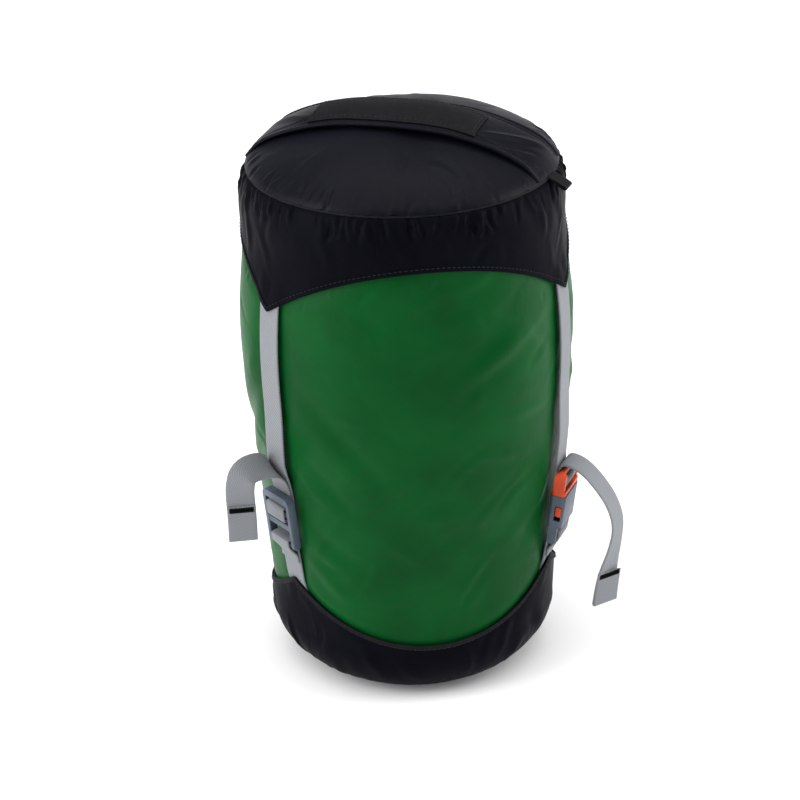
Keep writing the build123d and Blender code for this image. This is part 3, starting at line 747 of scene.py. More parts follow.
class SACK_OT_wall(bpy.types.Operator):
    """Make the three stuffed green panels and the tapes over their inner seams"""
    bl_idname = "sack.wall"
    bl_label = "Wall"

    def execute(self, context):
        s = settings()
        heights = np.linspace(0.029, s.wall_heights[-1], 200)
        for name, middle in PANELS.items():
            angle, height = np.meshgrid(middle + np.linspace(-HALF_PANEL, HALF_PANEL, 216), heights)
            radius = wall_radius(height) + wall_relief(angle % 360, height)
            uvs = np.stack([np.radians(angle) * WALL_WEAVE, height], -1)
            panel = skin(f"wall_panel_{name}", round_points(angle, radius, height), uvs, wall=s.wall)
            finished(panel, green_nylon(), [f"body_panel_{name}"], between=COMPRESS)
        tapes = []
        for place in STRAPS.values():
            line = np.linspace(0.066, 0.249, 90)
            inside = wall_radius(line) + wall_relief(place % 360 + 0 * line, line) - s.wall - 0.0006
            path = round_points(place + 0 * line, inside, line)
            tapes.append(tape("inner_seam_tapes", path, sideways(place),
                              tape_profile(width=0.011, thickness=0.0007, steps=12)))
        tapes = join_into(*tapes)
        finished(tapes, binding_finish(), ["seam_tapes"], between=COMPRESS)
        return {"FINISHED"}


# ---------------------------------------------------------------- base
def hem_band(name, edge, radius_of, hem, lift, outwards):
    """Binding folded over a scalloped edge, with its row of stitches."""
    angle = np.linspace(0, 360, 720, endpoint=False)
    height = scallop(angle, edge) + lift
    radius = radius_of(angle, height)
    path = round_points(angle, radius, height)
    rise = radius_of(angle, height + 0.002) - radius_of(angle, height - 0.002)
    slope = rise[:, None] / 0.004
    across = outward(angle) * slope + UP
    band = tape(name, path, across, tape_profile(width=hem, thickness=0.0009, steps=5), closed=True)
    row = path + outward(angle) * 0.0005 + np.array([0, 0, outwards * hem * 0.28])
    sewn = stitches(name + "_thread", np.vstack([row, row[:1]]),
                    np.vstack([outward(angle), outward(angle[:1])]))
    return band, sewn


class SACK_OT_base(bpy.types.Operator):
    """Make the black base: its side with a scalloped edge, its bottom disc and its binding"""
    bl_idname = "sack.base"
    bl_label = "Base"

    def over_strap(self, angle, to_edge):
        """How far the cup stands out over the end of a strap under it."""
        return 0.0006 * on_strap(angle, BASE_REACH, to_edge, 0.010)

    def relief(self, angle, run):
        """Folds of the base's side, by angle and by length up from the bottom seam."""
        span = CUP_ROUND
        u = angle % 360 / 360 * span
        tall = scattered(u, run, seed=31, count=46, place=((0, span), (0.012, 0.042)), size=(0.022, 0.050),
                         lean=(62, 118), width=(0.0022, 0.0048), height=(0.0005, 0.0013), around=span)
        small = scattered(u, run, seed=33, count=150, place=((0, span), (0.000, 0.012)),
                          size=(0.008, 0.018), lean=(75, 105),
                          width=(0.0010, 0.0018), height=(0.0003, 0.0007), around=span)
        return tall + small + 0.0006 * lumps(angle, run, seed=35, count=7, turns=(3, 9), waves=(-60, 60))

    def execute(self, context):
        s = settings()
        centre = s.wall_radii[0] + s.base_gap - s.corner
        start = math.asin((s.base_seam - centre) / s.corner)
        arc = s.corner * (math.pi / 2 - start)
        angle, share = np.meshgrid(np.linspace(0, 360, 701), np.linspace(0, 1, 64))
        edge = scallop(angle, s.base_edge)
        run = share * (arc + edge - s.corner)
        turned_by = start + np.minimum(run, arc) / s.corner
        straight = np.maximum(run - arc, 0)
        height = s.corner - s.corner * np.cos(turned_by) + straight
        on_arc = centre + s.corner * np.sin(turned_by)
        radius = np.where(run < arc, on_arc, wall_radius(s.corner + straight) + s.base_gap)
        to_edge = (arc + edge - s.corner) - run
        relief = self.relief(angle, run)
        relief = relief * smooth_step(to_edge, 0.0, 0.007) * (0.25 + 0.75 * smooth_step(run, 0.0, 0.010))
        relief = np.clip(relief, -0.0010, 0.0018) - 0.0007 * np.exp(-(run / 0.002) ** 2)
        relief = relief + self.over_strap(angle, to_edge)
        radius = radius + relief * np.sin(turned_by)
        height = np.maximum(height - np.minimum(relief, 0) * -np.cos(turned_by), 0.0002)
        uvs = np.stack([np.radians(angle) * CUP_WEAVE, run], -1)
        side = skin("base_cup_side", round_points(angle, radius, height), uvs, wall=0.0010)
        finished(side, black_nylon(), ["base_side"], body="sack")

        seam_height = s.corner - s.corner * math.cos(start)
        flat = centre / s.base_seam
        angle, share = np.meshgrid(np.linspace(0, 360, 289), np.linspace(0, 1, 44))
        radius = share * s.base_seam
        rise = s.corner - np.sqrt(s.corner ** 2 - np.maximum(radius - centre, 0) ** 2)
        wrinkle = 0.0006 * lumps(angle, radius, seed=41, count=8, turns=(3, 11),
                                 waves=(-180, 180)) * share ** 2
        span = DISC_ROUND
        puckers = scattered(angle / 360 * span, radius, seed=43, count=90,
                            place=((0, span), (0.050, 0.058)), size=(0.006, 0.014),
                            lean=(70, 110), width=(0.001, 0.002), height=(0.0002, 0.0006), around=span)
        height = rise + np.maximum(wrinkle, 0) * smooth_step(share, 0.15, flat) + np.maximum(puckers, 0)
        uvs = flat_uvs(angle, radius)
        disc = skin("base_bottom_disc", round_points(angle, radius, height), uvs, wall=0.0010)
        finished(disc, black_nylon(), ["base_disc"], body="sack")

        ring = np.linspace(0, 360, 420, endpoint=False)
        cord = round_points(ring, s.base_seam + 0.0002, seam_height + 0.0002)
        piping = tape("bottom_seam", cord, UP, tape_profile(width=0.0020, thickness=0.0012, steps=3),
                      closed=True)
        finished(piping, binding_finish(), ["base_seam_tape"], body="sack")

        def on_cup(angle, height):
            to_edge = scallop(angle, s.base_edge) - height
            return wall_radius(height) + s.base_gap + 0.0001 + self.over_strap(angle, to_edge)

        band, sewn = hem_band("base_binding", s.base_edge, on_cup, hem=0.0028, lift=-0.0008, outwards=-1)
        finished(band, binding_finish(), ["base_hem"], body="sack")
        finished(sewn, thread_finish(), body="sack")
        return {"FINISHED"}


# ---------------------------------------------------------------- lid
def lid_surface(angle, height):
    """Outer radius of the lid's side with its gathers."""
    s = settings()
    span = LID_ROUND
    u = angle % 360 / 360 * span
    rim = s.rim[1]
    gathers = scattered(u, height, seed=51, count=210, place=((0, span), (rim - 0.009, rim - 0.001)),
                        size=(0.008, 0.020), lean=(70, 110),
                        width=(0.0009, 0.0018), height=(0.0003, 0.0010), around=span)
    longer = scattered(u, height, seed=53, count=20, place=((0, span), (rim - 0.026, rim - 0.010)),
                       size=(0.020, 0.038), lean=(56, 124),
                       width=(0.0020, 0.0036), height=(0.0003, 0.0008), around=span)
    slack = 0.0006 * lumps(angle, height, seed=55, count=8, turns=(3, 8), waves=(-40, 40))
    edge = scallop(angle, s.lid_edge)
    over_edge = height - edge
    rippled = scattered(u, height, seed=57, count=34, place=((0, span), (0.221, 0.262)),
                        size=(0.016, 0.034), lean=(50, 130),
                        width=(0.0024, 0.0042), height=(0.0001, 0.0004), around=span)
    relief = gathers + longer + (slack + rippled) * smooth_step(rim - height, 0.0, 0.02)
    relief = relief * (0.12 + 0.88 * smooth_step(over_edge, 0.0, 0.010))
    pinch = 0.0014 * np.exp(-((rim - height) / 0.0013) ** 2)
    over_strap = 0.0013 * on_strap(angle, WALL_REACH, over_edge, 0.012)
    return lid_radius(height) + np.maximum(relief, -0.0011) - pinch + over_strap


class SACK_OT_lid(bpy.types.Operator):
    """Make the lid: its gathered side, its crown, its hem and the tape inside its rim seam"""
    bl_idname = "sack.lid"
    bl_label = "Lid"

    def execute(self, context):
        s = settings()
        angle, share = np.meshgrid(np.linspace(0, 360, 721), np.linspace(0, 1, 58))
        edge = scallop(angle, s.lid_edge)
        height = edge + share * (s.rim[1] - edge)
        uvs = np.stack([np.radians(angle) * LID_WEAVE, height], -1)
        side = skin("lid_side_band", round_points(angle, lid_surface(angle, height), height), uvs,
                    wall=0.0009)
        finished(side, black_nylon(), ["lid_side"], body="lid")

        angle, share = np.meshgrid(np.linspace(0, 360, 541), np.linspace(0, 1, 60))
        radius = (s.rim[0] - 0.0004) * (1 - share ** 1.5)
        height = crown_height(radius)
        span = CROWN_ROUND
        u = angle % 360 / 360 * span
        inside = s.rim[0] - radius
        puckers = scattered(u, inside, seed=61, count=110, place=((0, span), (0.0010, 0.006)),
                            size=(0.006, 0.016), lean=(72, 108),
                            width=(0.0010, 0.0020), height=(0.0002, 0.0007), around=span)
        longer = scattered(u, inside, seed=63, count=16, place=((0, span), (0.008, 0.030)),
                           size=(0.018, 0.036), lean=(40, 140),
                           width=(0.0026, 0.0048), height=(0.0002, 0.0006), around=span)
        slack = 0.0008 * lumps(angle, radius, seed=65, count=8, turns=(2, 6),
                               waves=(-70, 70)) * np.sin(math.pi * radius / s.rim[0])
        height = height + np.minimum(puckers + longer * smooth_step(radius, 0.01, 0.05) + slack, 0.0006)
        height = height - 0.0004 * np.exp(-(inside / 0.0010) ** 2)
        uvs = flat_uvs(angle, radius)
        crown = skin("lid_crown", round_points(angle, radius, height), uvs, wall=0.0009)
        # the crown gets the copy of the black nylon that is painted lighter
        finished(crown, crown_nylon_painted_lighter(), ["lid_disc"], body="lid")

        ring = np.linspace(0, 360, 480, endpoint=False)
        seam = tape("lid_rim_seam", round_points(ring, s.rim[0] - 0.0010, s.rim[1] - 0.0001),
                    UP, tape_profile(width=0.0016, thickness=0.0012, steps=3), closed=True)
        finished(seam, binding_finish(), ["lid_rim_tape"], body="lid")

        def on_lid(angle, height):
            return lid_surface(angle, height) - 0.0001

        band, sewn = hem_band("lid_turned_hem", s.lid_edge, on_lid, hem=s.hem, lift=0.0011, outwards=1)
        finished(band, black_nylon(), ["lid_hem"], body="lid")
        finished(sewn, thread_finish(), body="lid")
        return {"FINISHED"}


# ---------------------------------------------------------------- grab handle
def handle_frame():
    """Directions along and across the handle."""
    degrees = math.degrees(settings().handle_turn)
    return outward(degrees), sideways(degrees)


def handle_top(along, across):
    """Height of the handle's upper face at a place along and across it, each from the lid's middle."""
    s = settings()
    radius = np.hypot(along, across)
    reach = np.sqrt(s.rim[0] ** 2 - across ** 2)
    bulge = (2 * across / s.handle_width) ** 2
    rise = s.handle_rise * (1 - smooth_step(np.abs(along), 0.022, 0.070)) * (1 - 0.72 * bulge)
    sag = 0.0006 * np.sin(along * 95 + across * 60) * (1 - bulge)
    creased = fold(along, across, (0.040, -0.016), (0.076, 0.012), width=0.0022, height=0.0011)
    creased = creased + fold(along, across, (0.048, -0.018), (0.074, -0.002), width=0.0018, height=-0.0009)
    creased = creased + fold(along, across, (-0.074, 0.010), (-0.044, -0.014), width=0.0025, height=0.0009)
    creased = creased + fold(along, across, (-0.055, 0.014), (-0.020, 0.004), width=0.0030, height=-0.0006)
    over_rim = 0.0024 * (1 - np.exp(-((reach - np.abs(along)) / 0.006) ** 2)) - 0.0004
    return crown_height(radius) + over_rim + rise + sag + creased


class SACK_OT_handle(bpy.types.Operator):
    """Make the grab handle with rolled edges, its bare sewn patch and the folded tag in the rim seam"""
    bl_idname = "sack.handle"
    bl_label = "Grab handle"

    def lay(self, along, across, lift):
        """Points over the lid from places along and across the handle."""
        length_way, width_way = handle_frame()
        up = handle_top(along, across) + lift
        flat = along[..., None] * length_way + across[..., None] * width_way
        return flat + up[..., None] * UP

    def execute(self, context):
        s = settings()
        half = s.handle_width / 2
        share, across = np.meshgrid(np.linspace(-1, 1, 200), np.linspace(-half, half, 56))
        reach = np.sqrt((s.rim[0] - 0.0006) ** 2 - across ** 2)
        along = share * reach
        lift = -0.0004 * np.exp(-((half - np.abs(across) - 0.0052) / 0.0007) ** 2)
        uvs = np.stack([along, across], -1)
        band = skin("grab_handle_band", self.lay(along, across, lift), uvs, wall=0.0014)
        parts = []
        for side in (-1, 1):
            edge = np.full(260, side * half)
            line = np.linspace(-1, 1, 260) * (math.sqrt(s.rim[0] ** 2 - half ** 2) - 0.0012)
            path = self.lay(line, edge, -0.0004)
            parts.append(tape("rolled_edge", path, handle_frame()[1],
                              tape_profile(width=0.0032, thickness=0.0021, steps=4)))
        join_into(band, *parts)
        # the handle also gets the copy of the black nylon that is painted lighter
        finished(band, crown_nylon_painted_lighter(), ["grab_handle"], body="lid")
        rows = []
        for side in (-1, 1):
            line = np.linspace(-0.95, 0.95, 300) * s.rim[0]
            row = self.lay(line, np.full(300, side * (half - 0.0052)), -0.0002)
            rows.append(stitches("handle_thread", row, UP))
        finished(join_into(*rows), thread_finish(), body="lid")

        long, wide, shift = s.patch
        seam = 0.0019                             # in from the patch's edge
        along, across = np.meshgrid(np.linspace(-long / 2, long / 2, 120),
                                    np.linspace(-wide / 2, wide / 2, 40) + shift)
        to_edge = np.minimum(long / 2 - np.abs(along), wide / 2 - np.abs(across - shift))
        sewn_down, rolled_off = np.exp(-((to_edge - seam) / 0.0005) ** 2), np.exp(-(to_edge / 0.0006) ** 2)
        lift = 0.0011 - 0.00035 * sewn_down - 0.0004 * rolled_off
        patch = skin("sewn_patch", self.lay(along, across, lift), np.stack([along, across], -1),
                     wall=0.0008)
        finished(patch, patch_finish(), ["label_patch"], body="lid")
        ends = [(-1, -1), (1, -1), (1, 1), (-1, 1), (-1, -1)]
        corners = [(x * (long / 2 - seam), y * (wide / 2 - seam) + shift) for x, y in ends]
        line = evenly(np.array([(*c, 0) for c in corners]), step=0.001)
        row = self.lay(line[:, 0], line[:, 1], 0.0009)
        finished(stitches("patch_thread", row, UP), thread_finish(), body="lid")

        out, side = outward(STRAPS["front_right"]), sideways(STRAPS["front_right"])
        root = out * (s.rim[0] + 0.0002) + np.array([0, 0, s.rim[1] + 0.0004])
        droop = out * math.cos(math.radians(30)) - np.array([0, 0, math.sin(math.radians(30))])
        lie = np.cross(side, droop)
        route = [root - droop * 0.002, root + droop * 0.004 + lie * 0.0006,
                 root + droop * 0.0096 + lie * 0.0008, root + droop * 0.0103,
                 root + droop * 0.0096 - lie * 0.0008, root + droop * 0.004 - lie * 0.0006,
                 root - droop * 0.001 - lie * 0.0001]
        tag = tape("size_loop", evenly(rounded(route, times=3), step=0.0004), side,
                   tape_profile(width=0.0090, thickness=0.0006, steps=8))
        finished(tag, patch_finish(), ["size_tag"], body="lid")
        return {"FINISHED"}


def patch_finish():
    """Bare woven label: fine ribs."""
    base = (0.0030, 0.0031, 0.0040)
    material, principled = shader("bare woven patch", base, roughness=0.66, Specular_IOR_Level=0.12)
    if principled is None:
        return material
    coords = node(material, "ShaderNodeTexCoord")
    toned(material, principled, coords.outputs["Object"], scale=300.0, dark=scaled(base, 0.75),
          light=scaled(base, 1.4))
    ribs = added(material, bands(material, coords.outputs["UV"], period=0.5 * MM, direction="Y"),
                 bands(material, coords.outputs["UV"], period=0.8 * MM, direction="X"))
    bumped(material, principled, ribs, strength=0.4, distance=0.0001)
    return material


# ---------------------------------------------------------------- mouth
class SACK_OT_mouth(bpy.types.Operator):
    """Make the gathered mouth under the lid, with its hem channel, drawcord, eyelets and cord lock"""
    bl_idname = "sack.mouth"
    bl_label = "Mouth"

    def execute(self, context):
        low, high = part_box("mouth_collar")
        hem_low, hem_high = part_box("mouth_hem")
        throat = (hem_high.x - hem_low.x) / 2 - 0.0029
        side = high.x
        line = rounded([(side, low.z), (side, high.z - 0.0085), (side - 0.012, high.z - 0.0062),
                        (throat + 0.016, high.z - 0.0047), (throat + 0.0022, high.z - 0.0042),
                        (throat + 0.0005, hem_low.z - 0.0010), (throat, hem_low.z + 0.0014)], times=5)
        line = evenly(np.hstack([line, 0 * line[:, :1]]), step=0.0011)
        share = np.linspace(0, 1, len(line))
        angle, along = np.meshgrid(np.linspace(0, 360, 541), share)
        radius = np.interp(along, share, line[:, 0])
        height = np.interp(along, share, line[:, 1])
        inner = smooth_step(side - radius, 0.004, side - throat)
        waves = np.sin(np.radians(angle) * 31 + 1.4 * np.sin(np.radians(angle) * 5))
        waves = waves + 0.5 * np.sin(np.radians(angle) * 47 + 2.1 * np.sin(np.radians(angle) * 3 + 1))
        pleat = -0.0011 * (1 + waves / 1.5) * inner
        steep = smooth_step(height, high.z - 0.0042, hem_low.z)
        points = round_points(angle, radius + pleat * 0.5 * steep, height + pleat * (1 - steep))
        uvs = np.stack([np.radians(angle) * radius, along * 0.09], -1)
        collar = skin("gathered_collar", points, uvs, wall=0.0007)
        finished(collar, green_nylon(), ["mouth_collar"], body="mouth")
        for name, finish, slot in (
            ("mouth_hem", black_nylon(), "black_nylon"), ("drawcord", braid(), "cord"),
            ("eyelets", metal("enamelled eyelets", (0.10, 0.10, 0.11), roughness=0.35), "eyelet_metal"),
            ("cord_lock_spring", metal("spring wire", (0.55, 0.56, 0.58), roughness=0.25), "spring_steel"),
        ):
            dressed(name, finish)
        black = moulded_plastic("black moulding", (0.012, 0.012, 0.013), roughness=0.42)
        moulded("cord_lock_barrel", "cord_lock_body", black, "mouth", edge=0.0003)
        moulded("cord_lock_press", "cord_lock_button", black, "lock_button", edge=0.0003)
        return {"FINISHED"}


def dressed(name, finish):
    """Gives a CAD node that stays its finish."""
    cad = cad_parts[name]
    if not cad.material_slots:
        cad.data.materials.append(finish)
    for place in cad.material_slots:
        place.material = finish


def moulded(name, source, finish, body, edge):
    """A moulding made from its CAD node, with its edges rounded as a mould rounds them."""
    piece = linked(name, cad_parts[source].data.copy())
    work = bmesh.new()
    work.from_mesh(piece.data)
    bmesh.ops.remove_doubles(work, verts=work.verts, dist=1e-6)
    bmesh.ops.dissolve_limit(work, angle_limit=math.radians(1.0), verts=work.verts, edges=work.edges)
    work.to_mesh(piece.data)
    work.free()
    apply_modifier(piece, "BEVEL", width=edge, segments=3, limit_method="ANGLE",
                   angle_limit=math.radians(40))
    return finished(piece, finish, [source], body=body, angle=35)


# ---------------------------------------------------------------- straps
class Seat:
    """Place of a buckle: its lower bar's axis, and its lean away from the wall."""

    def __init__(self, angle, height, standoff, lean):
        self.angle, self.lean, self.height = angle, math.radians(lean), height
        self.radius = float(wall_radius(height)) + standoff

    def point(self, front, along):
        """Radius and height of a point in front of the axis and along the buckle."""
        return (self.radius + front * math.cos(self.lean) + along * math.sin(self.lean),
                self.height + along * math.cos(self.lean) - front * math.sin(self.lean))


def seat_of(name):
    if name == "front_left":
        return Seat(STRAPS[name], 0.090, 0.0045, 6.0)
    return Seat(STRAPS[name], 0.080, 0.0050, 8.0)


def strap_path(route, angle):
    """Points of a strap's line in the plane at an angle, and its width's directions at them."""
    line = evenly(rounded(np.array([(r, 0, z, turned, tilt) for r, z, turned, tilt in route]), times=4),
                  step=PATH_STEP)
    path = outward(angle) * line[:, :1] + UP * line[:, 2:3]
    turned, tilt = np.radians(line[:, 3:4]), np.radians(line[:, 4:5])
    level = sideways(angle) * np.cos(turned) - outward(angle) * np.sin(turned)
    return path, level * np.cos(tilt) - UP * np.sin(tilt)


def strap_piece(name, route, angle):
    """Webbing along a route of radius, height, turn and tilt, at an angle from the front."""
    s = settings()
    path, across = strap_path(route, angle)
    return tape(name, path, across, tape_profile(width=s.strap[0], thickness=s.strap[1], steps=8))


def upper_end(seat, over_bar):
    """Height at which the strap on the wall goes over into the strap's end."""
    return seat.point(0, over_bar)[1] + 0.022


# way of each hanging end from the place where it leaves its buckle: out and up in millimetres, then the turn
# of its width about the upright and its tilt, in degrees
LADDER_TAIL = [(2.0, 7.0, 0, 6), (5.5, 13.5, 0, 34), (12.5, 17.6, 8, 50), (23.5, 17.2, 28, 46),
               (26.2, 8.5, 48, 24), (25.8, -2.0, 58, 4), (25.6, -11.0, 60, 0), (25.7, -20.5, 60, 0)]
RELEASE_TAIL = [(1.5, 3.2, 0, 0), (6.5, 2.8, 0, 0), (12.8, -0.4, 0, 0), (20.2, -8.0, 0, 0),
                (27.2, -18.0, 0, 0), (30.8, -30.0, -3, 0), (28.8, -44.0, -10, 0), (25.3, -58.0, -22, 0),
                (23.9, -69.5, -32, 0), (23.1, -78.5, -36, 0)]

# way of the webbing through each buckle: in front of its lower bar's axis and along it, in metres
LADDER_THREAD = [(-0.0049, 0.0270), (-0.0034, 0.0190), (-0.0031, 0.0150), (-0.0031, 0.0150),
                 (0.0029, 0.0150), (0.0029, 0.0150), (0.0029, 0.0225), (0.0029, 0.0225),
                 (-0.0030, 0.0225), (-0.0030, 0.0225), (-0.0030, 0.0265), (-0.0030, 0.0305)]
RELEASE_THREAD = [(-0.0042, 0.0410), (-0.0030, 0.0345), (-0.0027, 0.0321), (-0.0027, 0.0321),
                  (0.0024, 0.0321), (0.0024, 0.0321), (0.0024, 0.0369), (0.0024, 0.0369),
                  (-0.0025, 0.0369), (-0.0025, 0.0369), (-0.0025, 0.0405)]


def strap_radius(height):
    """Radius of a strap's middle over the wall, a little off it where it runs taut to its buckle."""
    s = settings()
    off_wall, leaves_wall, full = 0.0024, 0.172, 0.130
    taut = off_wall * smooth_step(height, leaves_wall, full)
    return float(wall_radius(height) + s.strap_gap + s.strap[1] / 2 + taut)


class SACK_OT_straps(bpy.types.Operator):
    """Make the webbing: lower straps, straps over the wall, and the hanging ends with their stitches"""
    bl_idname = "sack.straps"
    bl_label = "Straps"

    def lower(self, name, seat, angle):
        """The short strap: out from under the base's point, round the buckle's bar and back."""
        s = settings()
        wide = s.strap[1]
        edge = s.base_edge[1]
        loop = 0.0028
        behind = s.strap_gap + wide / 2
        clear = max(seat.height - 0.015, edge + 0.004)
        under = [(edge - 0.010, -0.0014), (edge - 0.005, -0.0008), (edge - 0.001, 0.0004)]
        route = [(float(wall_radius(h)) + out, h) for h, out in [*under, (clear, behind)]]
        route += [seat.point(-loop, -loop)] + [seat.point(-loop, loop)] * 2 + [seat.point(loop, loop)] * 2
        route += [seat.point(loop, -loop / 2), seat.point(loop / 2, -loop - wide / 2)]
        ends = seat.height - 0.0085, seat.height - 0.0125
        route += [(float(wall_radius(h)) + behind + wide + 0.0002, h) for h in ends]
        strap = strap_piece(f"base_strap_{name}", [(*place, 0, 0) for place in route], angle)
        finished(strap, webbing_finish(), [f"lower_strap_{name}"], body="sack")

    def upper(self, name, angle, low):
        top = settings().lid_edge[1] + 0.007
        if name == "front_left":
            runs = [("low", low, 0.195, ("sack", "mouth", (0, 0, 0.125), (0, 0, 0.195))),
                    ("high", 0.195, top, ("mouth", "lid", (0, 0, 0.195), (0, 0, 0.221)))]
        else:
            runs = [("whole", low, top, (f"plug_end_{name}", "lid", (0, 0, 0.125), (0, 0, 0.195)))]
        for part, start, end, between in runs:
            heights = np.linspace(start, end, 24)
            route = [(strap_radius(h), h, 0, 0) for h in heights]
            strap = strap_piece(f"wall_strap_{name}_{part}", route, angle)
            nodes = [f"upper_strap_{name}"]
            finished(strap, webbing_finish(), nodes, between=between)

    def tail(self, name, seat, angle, thread, hang, body):
        """The strap's own end: off the wall, through the buckle, out and down, its tip folded double."""
        s = settings()
        meet = upper_end(seat, thread[0][1])
        route = [(strap_radius(meet + d), meet + d, 0, 0) for d in (0.0, -0.003)]
        route += [(*seat.point(*place), 0, 0) for place in thread]
        r, z = route[-1][:2]
        route += [(r + out * MM, z + rise * MM, turned, tilt) for out, rise, turned, tilt in hang]
        path, across = strap_path(route, angle)
        tangent = path[-1] - path[-4]
        tangent = tangent / np.linalg.norm(tangent)
        face = np.cross(tangent, across[-1])
        fold_path = self.folded(path, tangent, face)
        whole = np.vstack([path, fold_path])
        widths = np.vstack([across, np.broadcast_to(across[-1], fold_path.shape)])
        profile = tape_profile(width=s.strap[0], thickness=s.strap[1], steps=8)
        if body == "ladder_buckle":
            out, height = seat.point(*thread[2])
            bar = outward(angle) * out + np.array([0, 0, height])
            split = int(np.argmin(np.linalg.norm(whole - bar, axis=1)))
            lead = tape(f"strap_lead_{name}", whole[:split + 1], widths[:split + 1], profile)
            finished(lead, webbing_finish(), [f"strap_tail_{name}"],
                     between=("sack", body, tuple(whole[0].tolist()), tuple(whole[split - 4].tolist())))
            whole, widths = whole[split:], widths[split:]
        strap = tape(f"strap_end_{name}", whole, widths, profile)
        finished(strap, webbing_finish(), [f"strap_tail_{name}"], body=body)
        self.bartack(name, fold_path, across[-1], face, body)

    def folded(self, path, tangent, face):
        """The end's fold: round its tip and back up its face."""
        gap = settings().strap[1] + FOLD_GAP
        back = path[::-1][: int(TIP_FOLD / PATH_STEP)]
        bend = [path[-1] + tangent * gap / 2 * math.sin(t) + face * gap / 2 * (1 - math.cos(t))
                for t in np.radians([30, 60, 90, 120, 150])]
        return np.vstack([bend, back + face * gap])

    def bartack(self, name, fold_path, across, face, body):
        """Bar of close stitches that holds the fold."""
        s = settings()
        at = fold_path[-3]
        along = fold_path[-3] - fold_path[-6]
        along = along / np.linalg.norm(along)
        rows = []
        for k in np.linspace(-1, 1, 27):
            middle = at + across * k * 0.0061 + face * (s.strap[1] / 2 - 0.00005)
            ends = np.stack([middle - along * 0.0011, middle, middle + along * 0.0011])
            rows.append(stitches("bartack", ends[:2] + along * 0.0006, face, pitch=0.002,
                                 size=(0.0026, 0.00062, 0.0005)))
        bar = join_into(*rows)
        finished(bar, thread_finish(), [f"tail_stitch_{name}"], body=body)
        bar.name = f"bartack_{name}"

    def execute(self, context):
        for name, angle in STRAPS.items():
            seat = seat_of(name)
            if name == "front_left":
                thread, hang, body = LADDER_THREAD, LADDER_TAIL, "ladder_buckle"
            else:
                thread, hang, body = RELEASE_THREAD, RELEASE_TAIL, f"plug_end_{name}"
            self.lower(name, seat, angle)
            self.upper(name, angle, upper_end(seat, thread[0][1]) - 0.001)
            self.tail(name, seat, angle, thread, hang, body)
        return {"FINISHED"}


# ---------------------------------------------------------------- buckles
class SACK_OT_buckles(bpy.types.Operator):
    """Make the ladder lock and the two side-release buckles"""
    bl_idname = "sack.buckles"
    bl_label = "Buckles"

    def execute(self, context):
        grey = moulded_plastic("grey moulding", colours().grey, roughness=0.40)
        orange = moulded_plastic("orange moulding", colours().orange, roughness=0.36)
        moulded("ladder_slider", "ladder_lock", grey, "ladder_buckle", edge=0.0009)
        for name in ("front_right", "rear"):
            moulded(f"release_socket_{name}", f"socket_{name}", grey, "sack", edge=0.0004)
            moulded(f"release_plug_{name}", f"plug_{name}", orange, f"plug_end_{name}",
                    edge=0.0004)
            for side in "ab":
                moulded(f"release_arm_{name}_{side}", f"latch_arm_{name}_{side}", orange,
                        f"arm_{name}_{side}", edge=0.0003)
        return {"FINISHED"}


# ---------------------------------------------------------------- studio
# name, place in metres and power in watts
SOFTBOXES = [("left_softbox", (-1.55, -0.35, 0.80), 29), ("right_softbox", (1.60, -0.20, 0.70), 26)]
SOFTBOX_SIZE = (1.1, 1.5)
LIT_POINT = (0, 0, 0.15)
CEILING_POWER, CEILING_SPREAD = 2.75, 80          # watts to a square metre, degrees
WALL_TONE = (1.0, 1.0, 1.0, 1)
CEILING_TONE = (0.24, 0.24, 0.25, 1)
WALL_TOP, CEILING_EDGE = 0.12, 0.34               # sines of the heights between which the tones blend
FLOOR_SIZE = 40


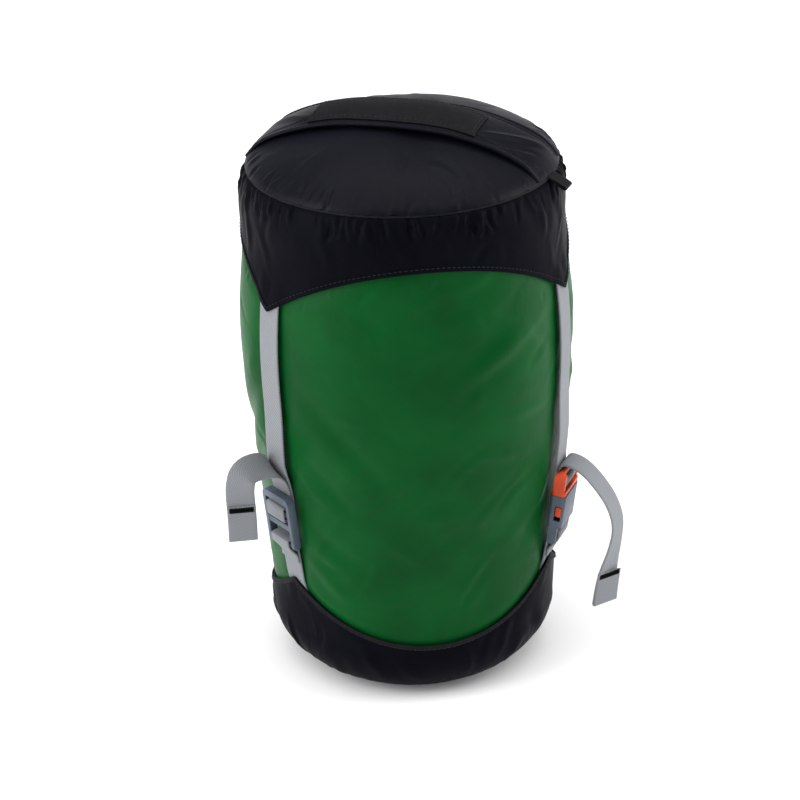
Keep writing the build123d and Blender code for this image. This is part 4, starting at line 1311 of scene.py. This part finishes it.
class SACK_OT_stage(bpy.types.Operator):
    """Set up the pale floor, the soft lights and the camera"""
    bl_idname = "sack.stage"
    bl_label = "Studio"

    def light(self, name, place, watts):
        lamp = bpy.data.lights.new(name, "AREA")
        lamp.shape, lamp.size, lamp.size_y, lamp.energy = "RECTANGLE", *SOFTBOX_SIZE, watts
        piece = linked(name, lamp)
        piece.location = place
        piece.rotation_euler = (Vector(LIT_POINT) - Vector(place)).to_track_quat("-Z", "Y").to_euler()

    def sky(self, scene):
        """White walls up to a little over the floor's edge, a dimmer ceiling over them."""
        world = bpy.data.worlds.new("studio")
        scene.world = world
        world.use_nodes = True
        nodes, links = world.node_tree.nodes, world.node_tree.links
        coords, split = nodes.new("ShaderNodeTexCoord"), nodes.new("ShaderNodeSeparateXYZ")
        ramp = nodes.new("ShaderNodeValToRGB")
        walls, above = ramp.color_ramp.elements
        walls.position, walls.color = WALL_TOP, WALL_TONE
        above.position, above.color = CEILING_EDGE, CEILING_TONE
        links.new(coords.outputs["Generated"], split.inputs["Vector"])
        links.new(split.outputs["Z"], ramp.inputs["Fac"])
        links.new(ramp.outputs["Color"], nodes["Background"].inputs["Color"])

    def execute(self, context):
        studio = context.scene.sack_studio
        camera = linked("camera", bpy.data.cameras.new("camera"))
        camera.data.lens, camera.data.sensor_width = studio.lens, 36.0
        place = Matrix.Translation((studio.away * math.sin(studio.side),
                                    -studio.away * math.cos(studio.side), studio.height))
        turned = Matrix.Rotation(studio.side + studio.yaw, 4, "Z")
        turned = turned @ Matrix.Rotation(math.pi / 2 - studio.pitch, 4, "X")
        camera.matrix_world = place @ turned @ Matrix.Rotation(-studio.roll, 4, "Z")
        context.scene.camera = camera

        deselect()
        bpy.ops.mesh.primitive_plane_add(size=FLOOR_SIZE, location=(0, 0, 0))
        floor = context.active_object
        floor.name = "floor"
        material, _ = shader("pale floor", (0.93, 0.93, 0.93), roughness=0.9, Specular_IOR_Level=0.1)
        floor.data.materials.append(material)

        for name, place, watts in SOFTBOXES:
            self.light(name, place, watts)
        ceiling = bpy.data.lights.new("ceiling", "SUN")
        ceiling.energy, ceiling.angle = CEILING_POWER, math.radians(CEILING_SPREAD)
        linked("ceiling", ceiling)
        self.sky(context.scene)
        context.scene.view_settings.view_transform = "Standard"
        return {"FINISHED"}


class SACK_PT_panel(bpy.types.Panel):
    """Lists the sack's pieces"""
    bl_idname = "SACK_PT_panel"
    bl_label = "Compression sack"
    bl_space_type = "VIEW_3D"
    bl_region_type = "UI"
    bl_category = "Sack"

    def draw(self, context):
        for operator in OPERATORS:
            self.layout.operator(operator.bl_idname)
        for group in (context.scene.sack_sizes, context.scene.sack_colours, context.scene.sack_studio):
            box = self.layout.box()
            for name in group.__annotations__:
                box.prop(group, name)


OPERATORS = (SACK_OT_wall, SACK_OT_base, SACK_OT_lid, SACK_OT_handle, SACK_OT_mouth, SACK_OT_straps,
             SACK_OT_buckles, SACK_OT_stage)
CLASSES = (SackSizes, SackColours, StudioSettings, *OPERATORS, SACK_PT_panel)


def register():
    for item in CLASSES:
        bpy.utils.register_class(item)
    bpy.types.Scene.sack_sizes = PointerProperty(type=SackSizes)
    bpy.types.Scene.sack_colours = PointerProperty(type=SackColours)
    bpy.types.Scene.sack_studio = PointerProperty(type=StudioSettings)


def unregister():
    del bpy.types.Scene.sack_sizes, bpy.types.Scene.sack_colours, bpy.types.Scene.sack_studio
    for item in reversed(CLASSES):
        bpy.utils.unregister_class(item)


def main():
    register()
    for operator in OPERATORS:
        group, name = operator.bl_idname.split(".")
        getattr(getattr(bpy.ops, group), name)()


if __name__ == "__main__":
    main()
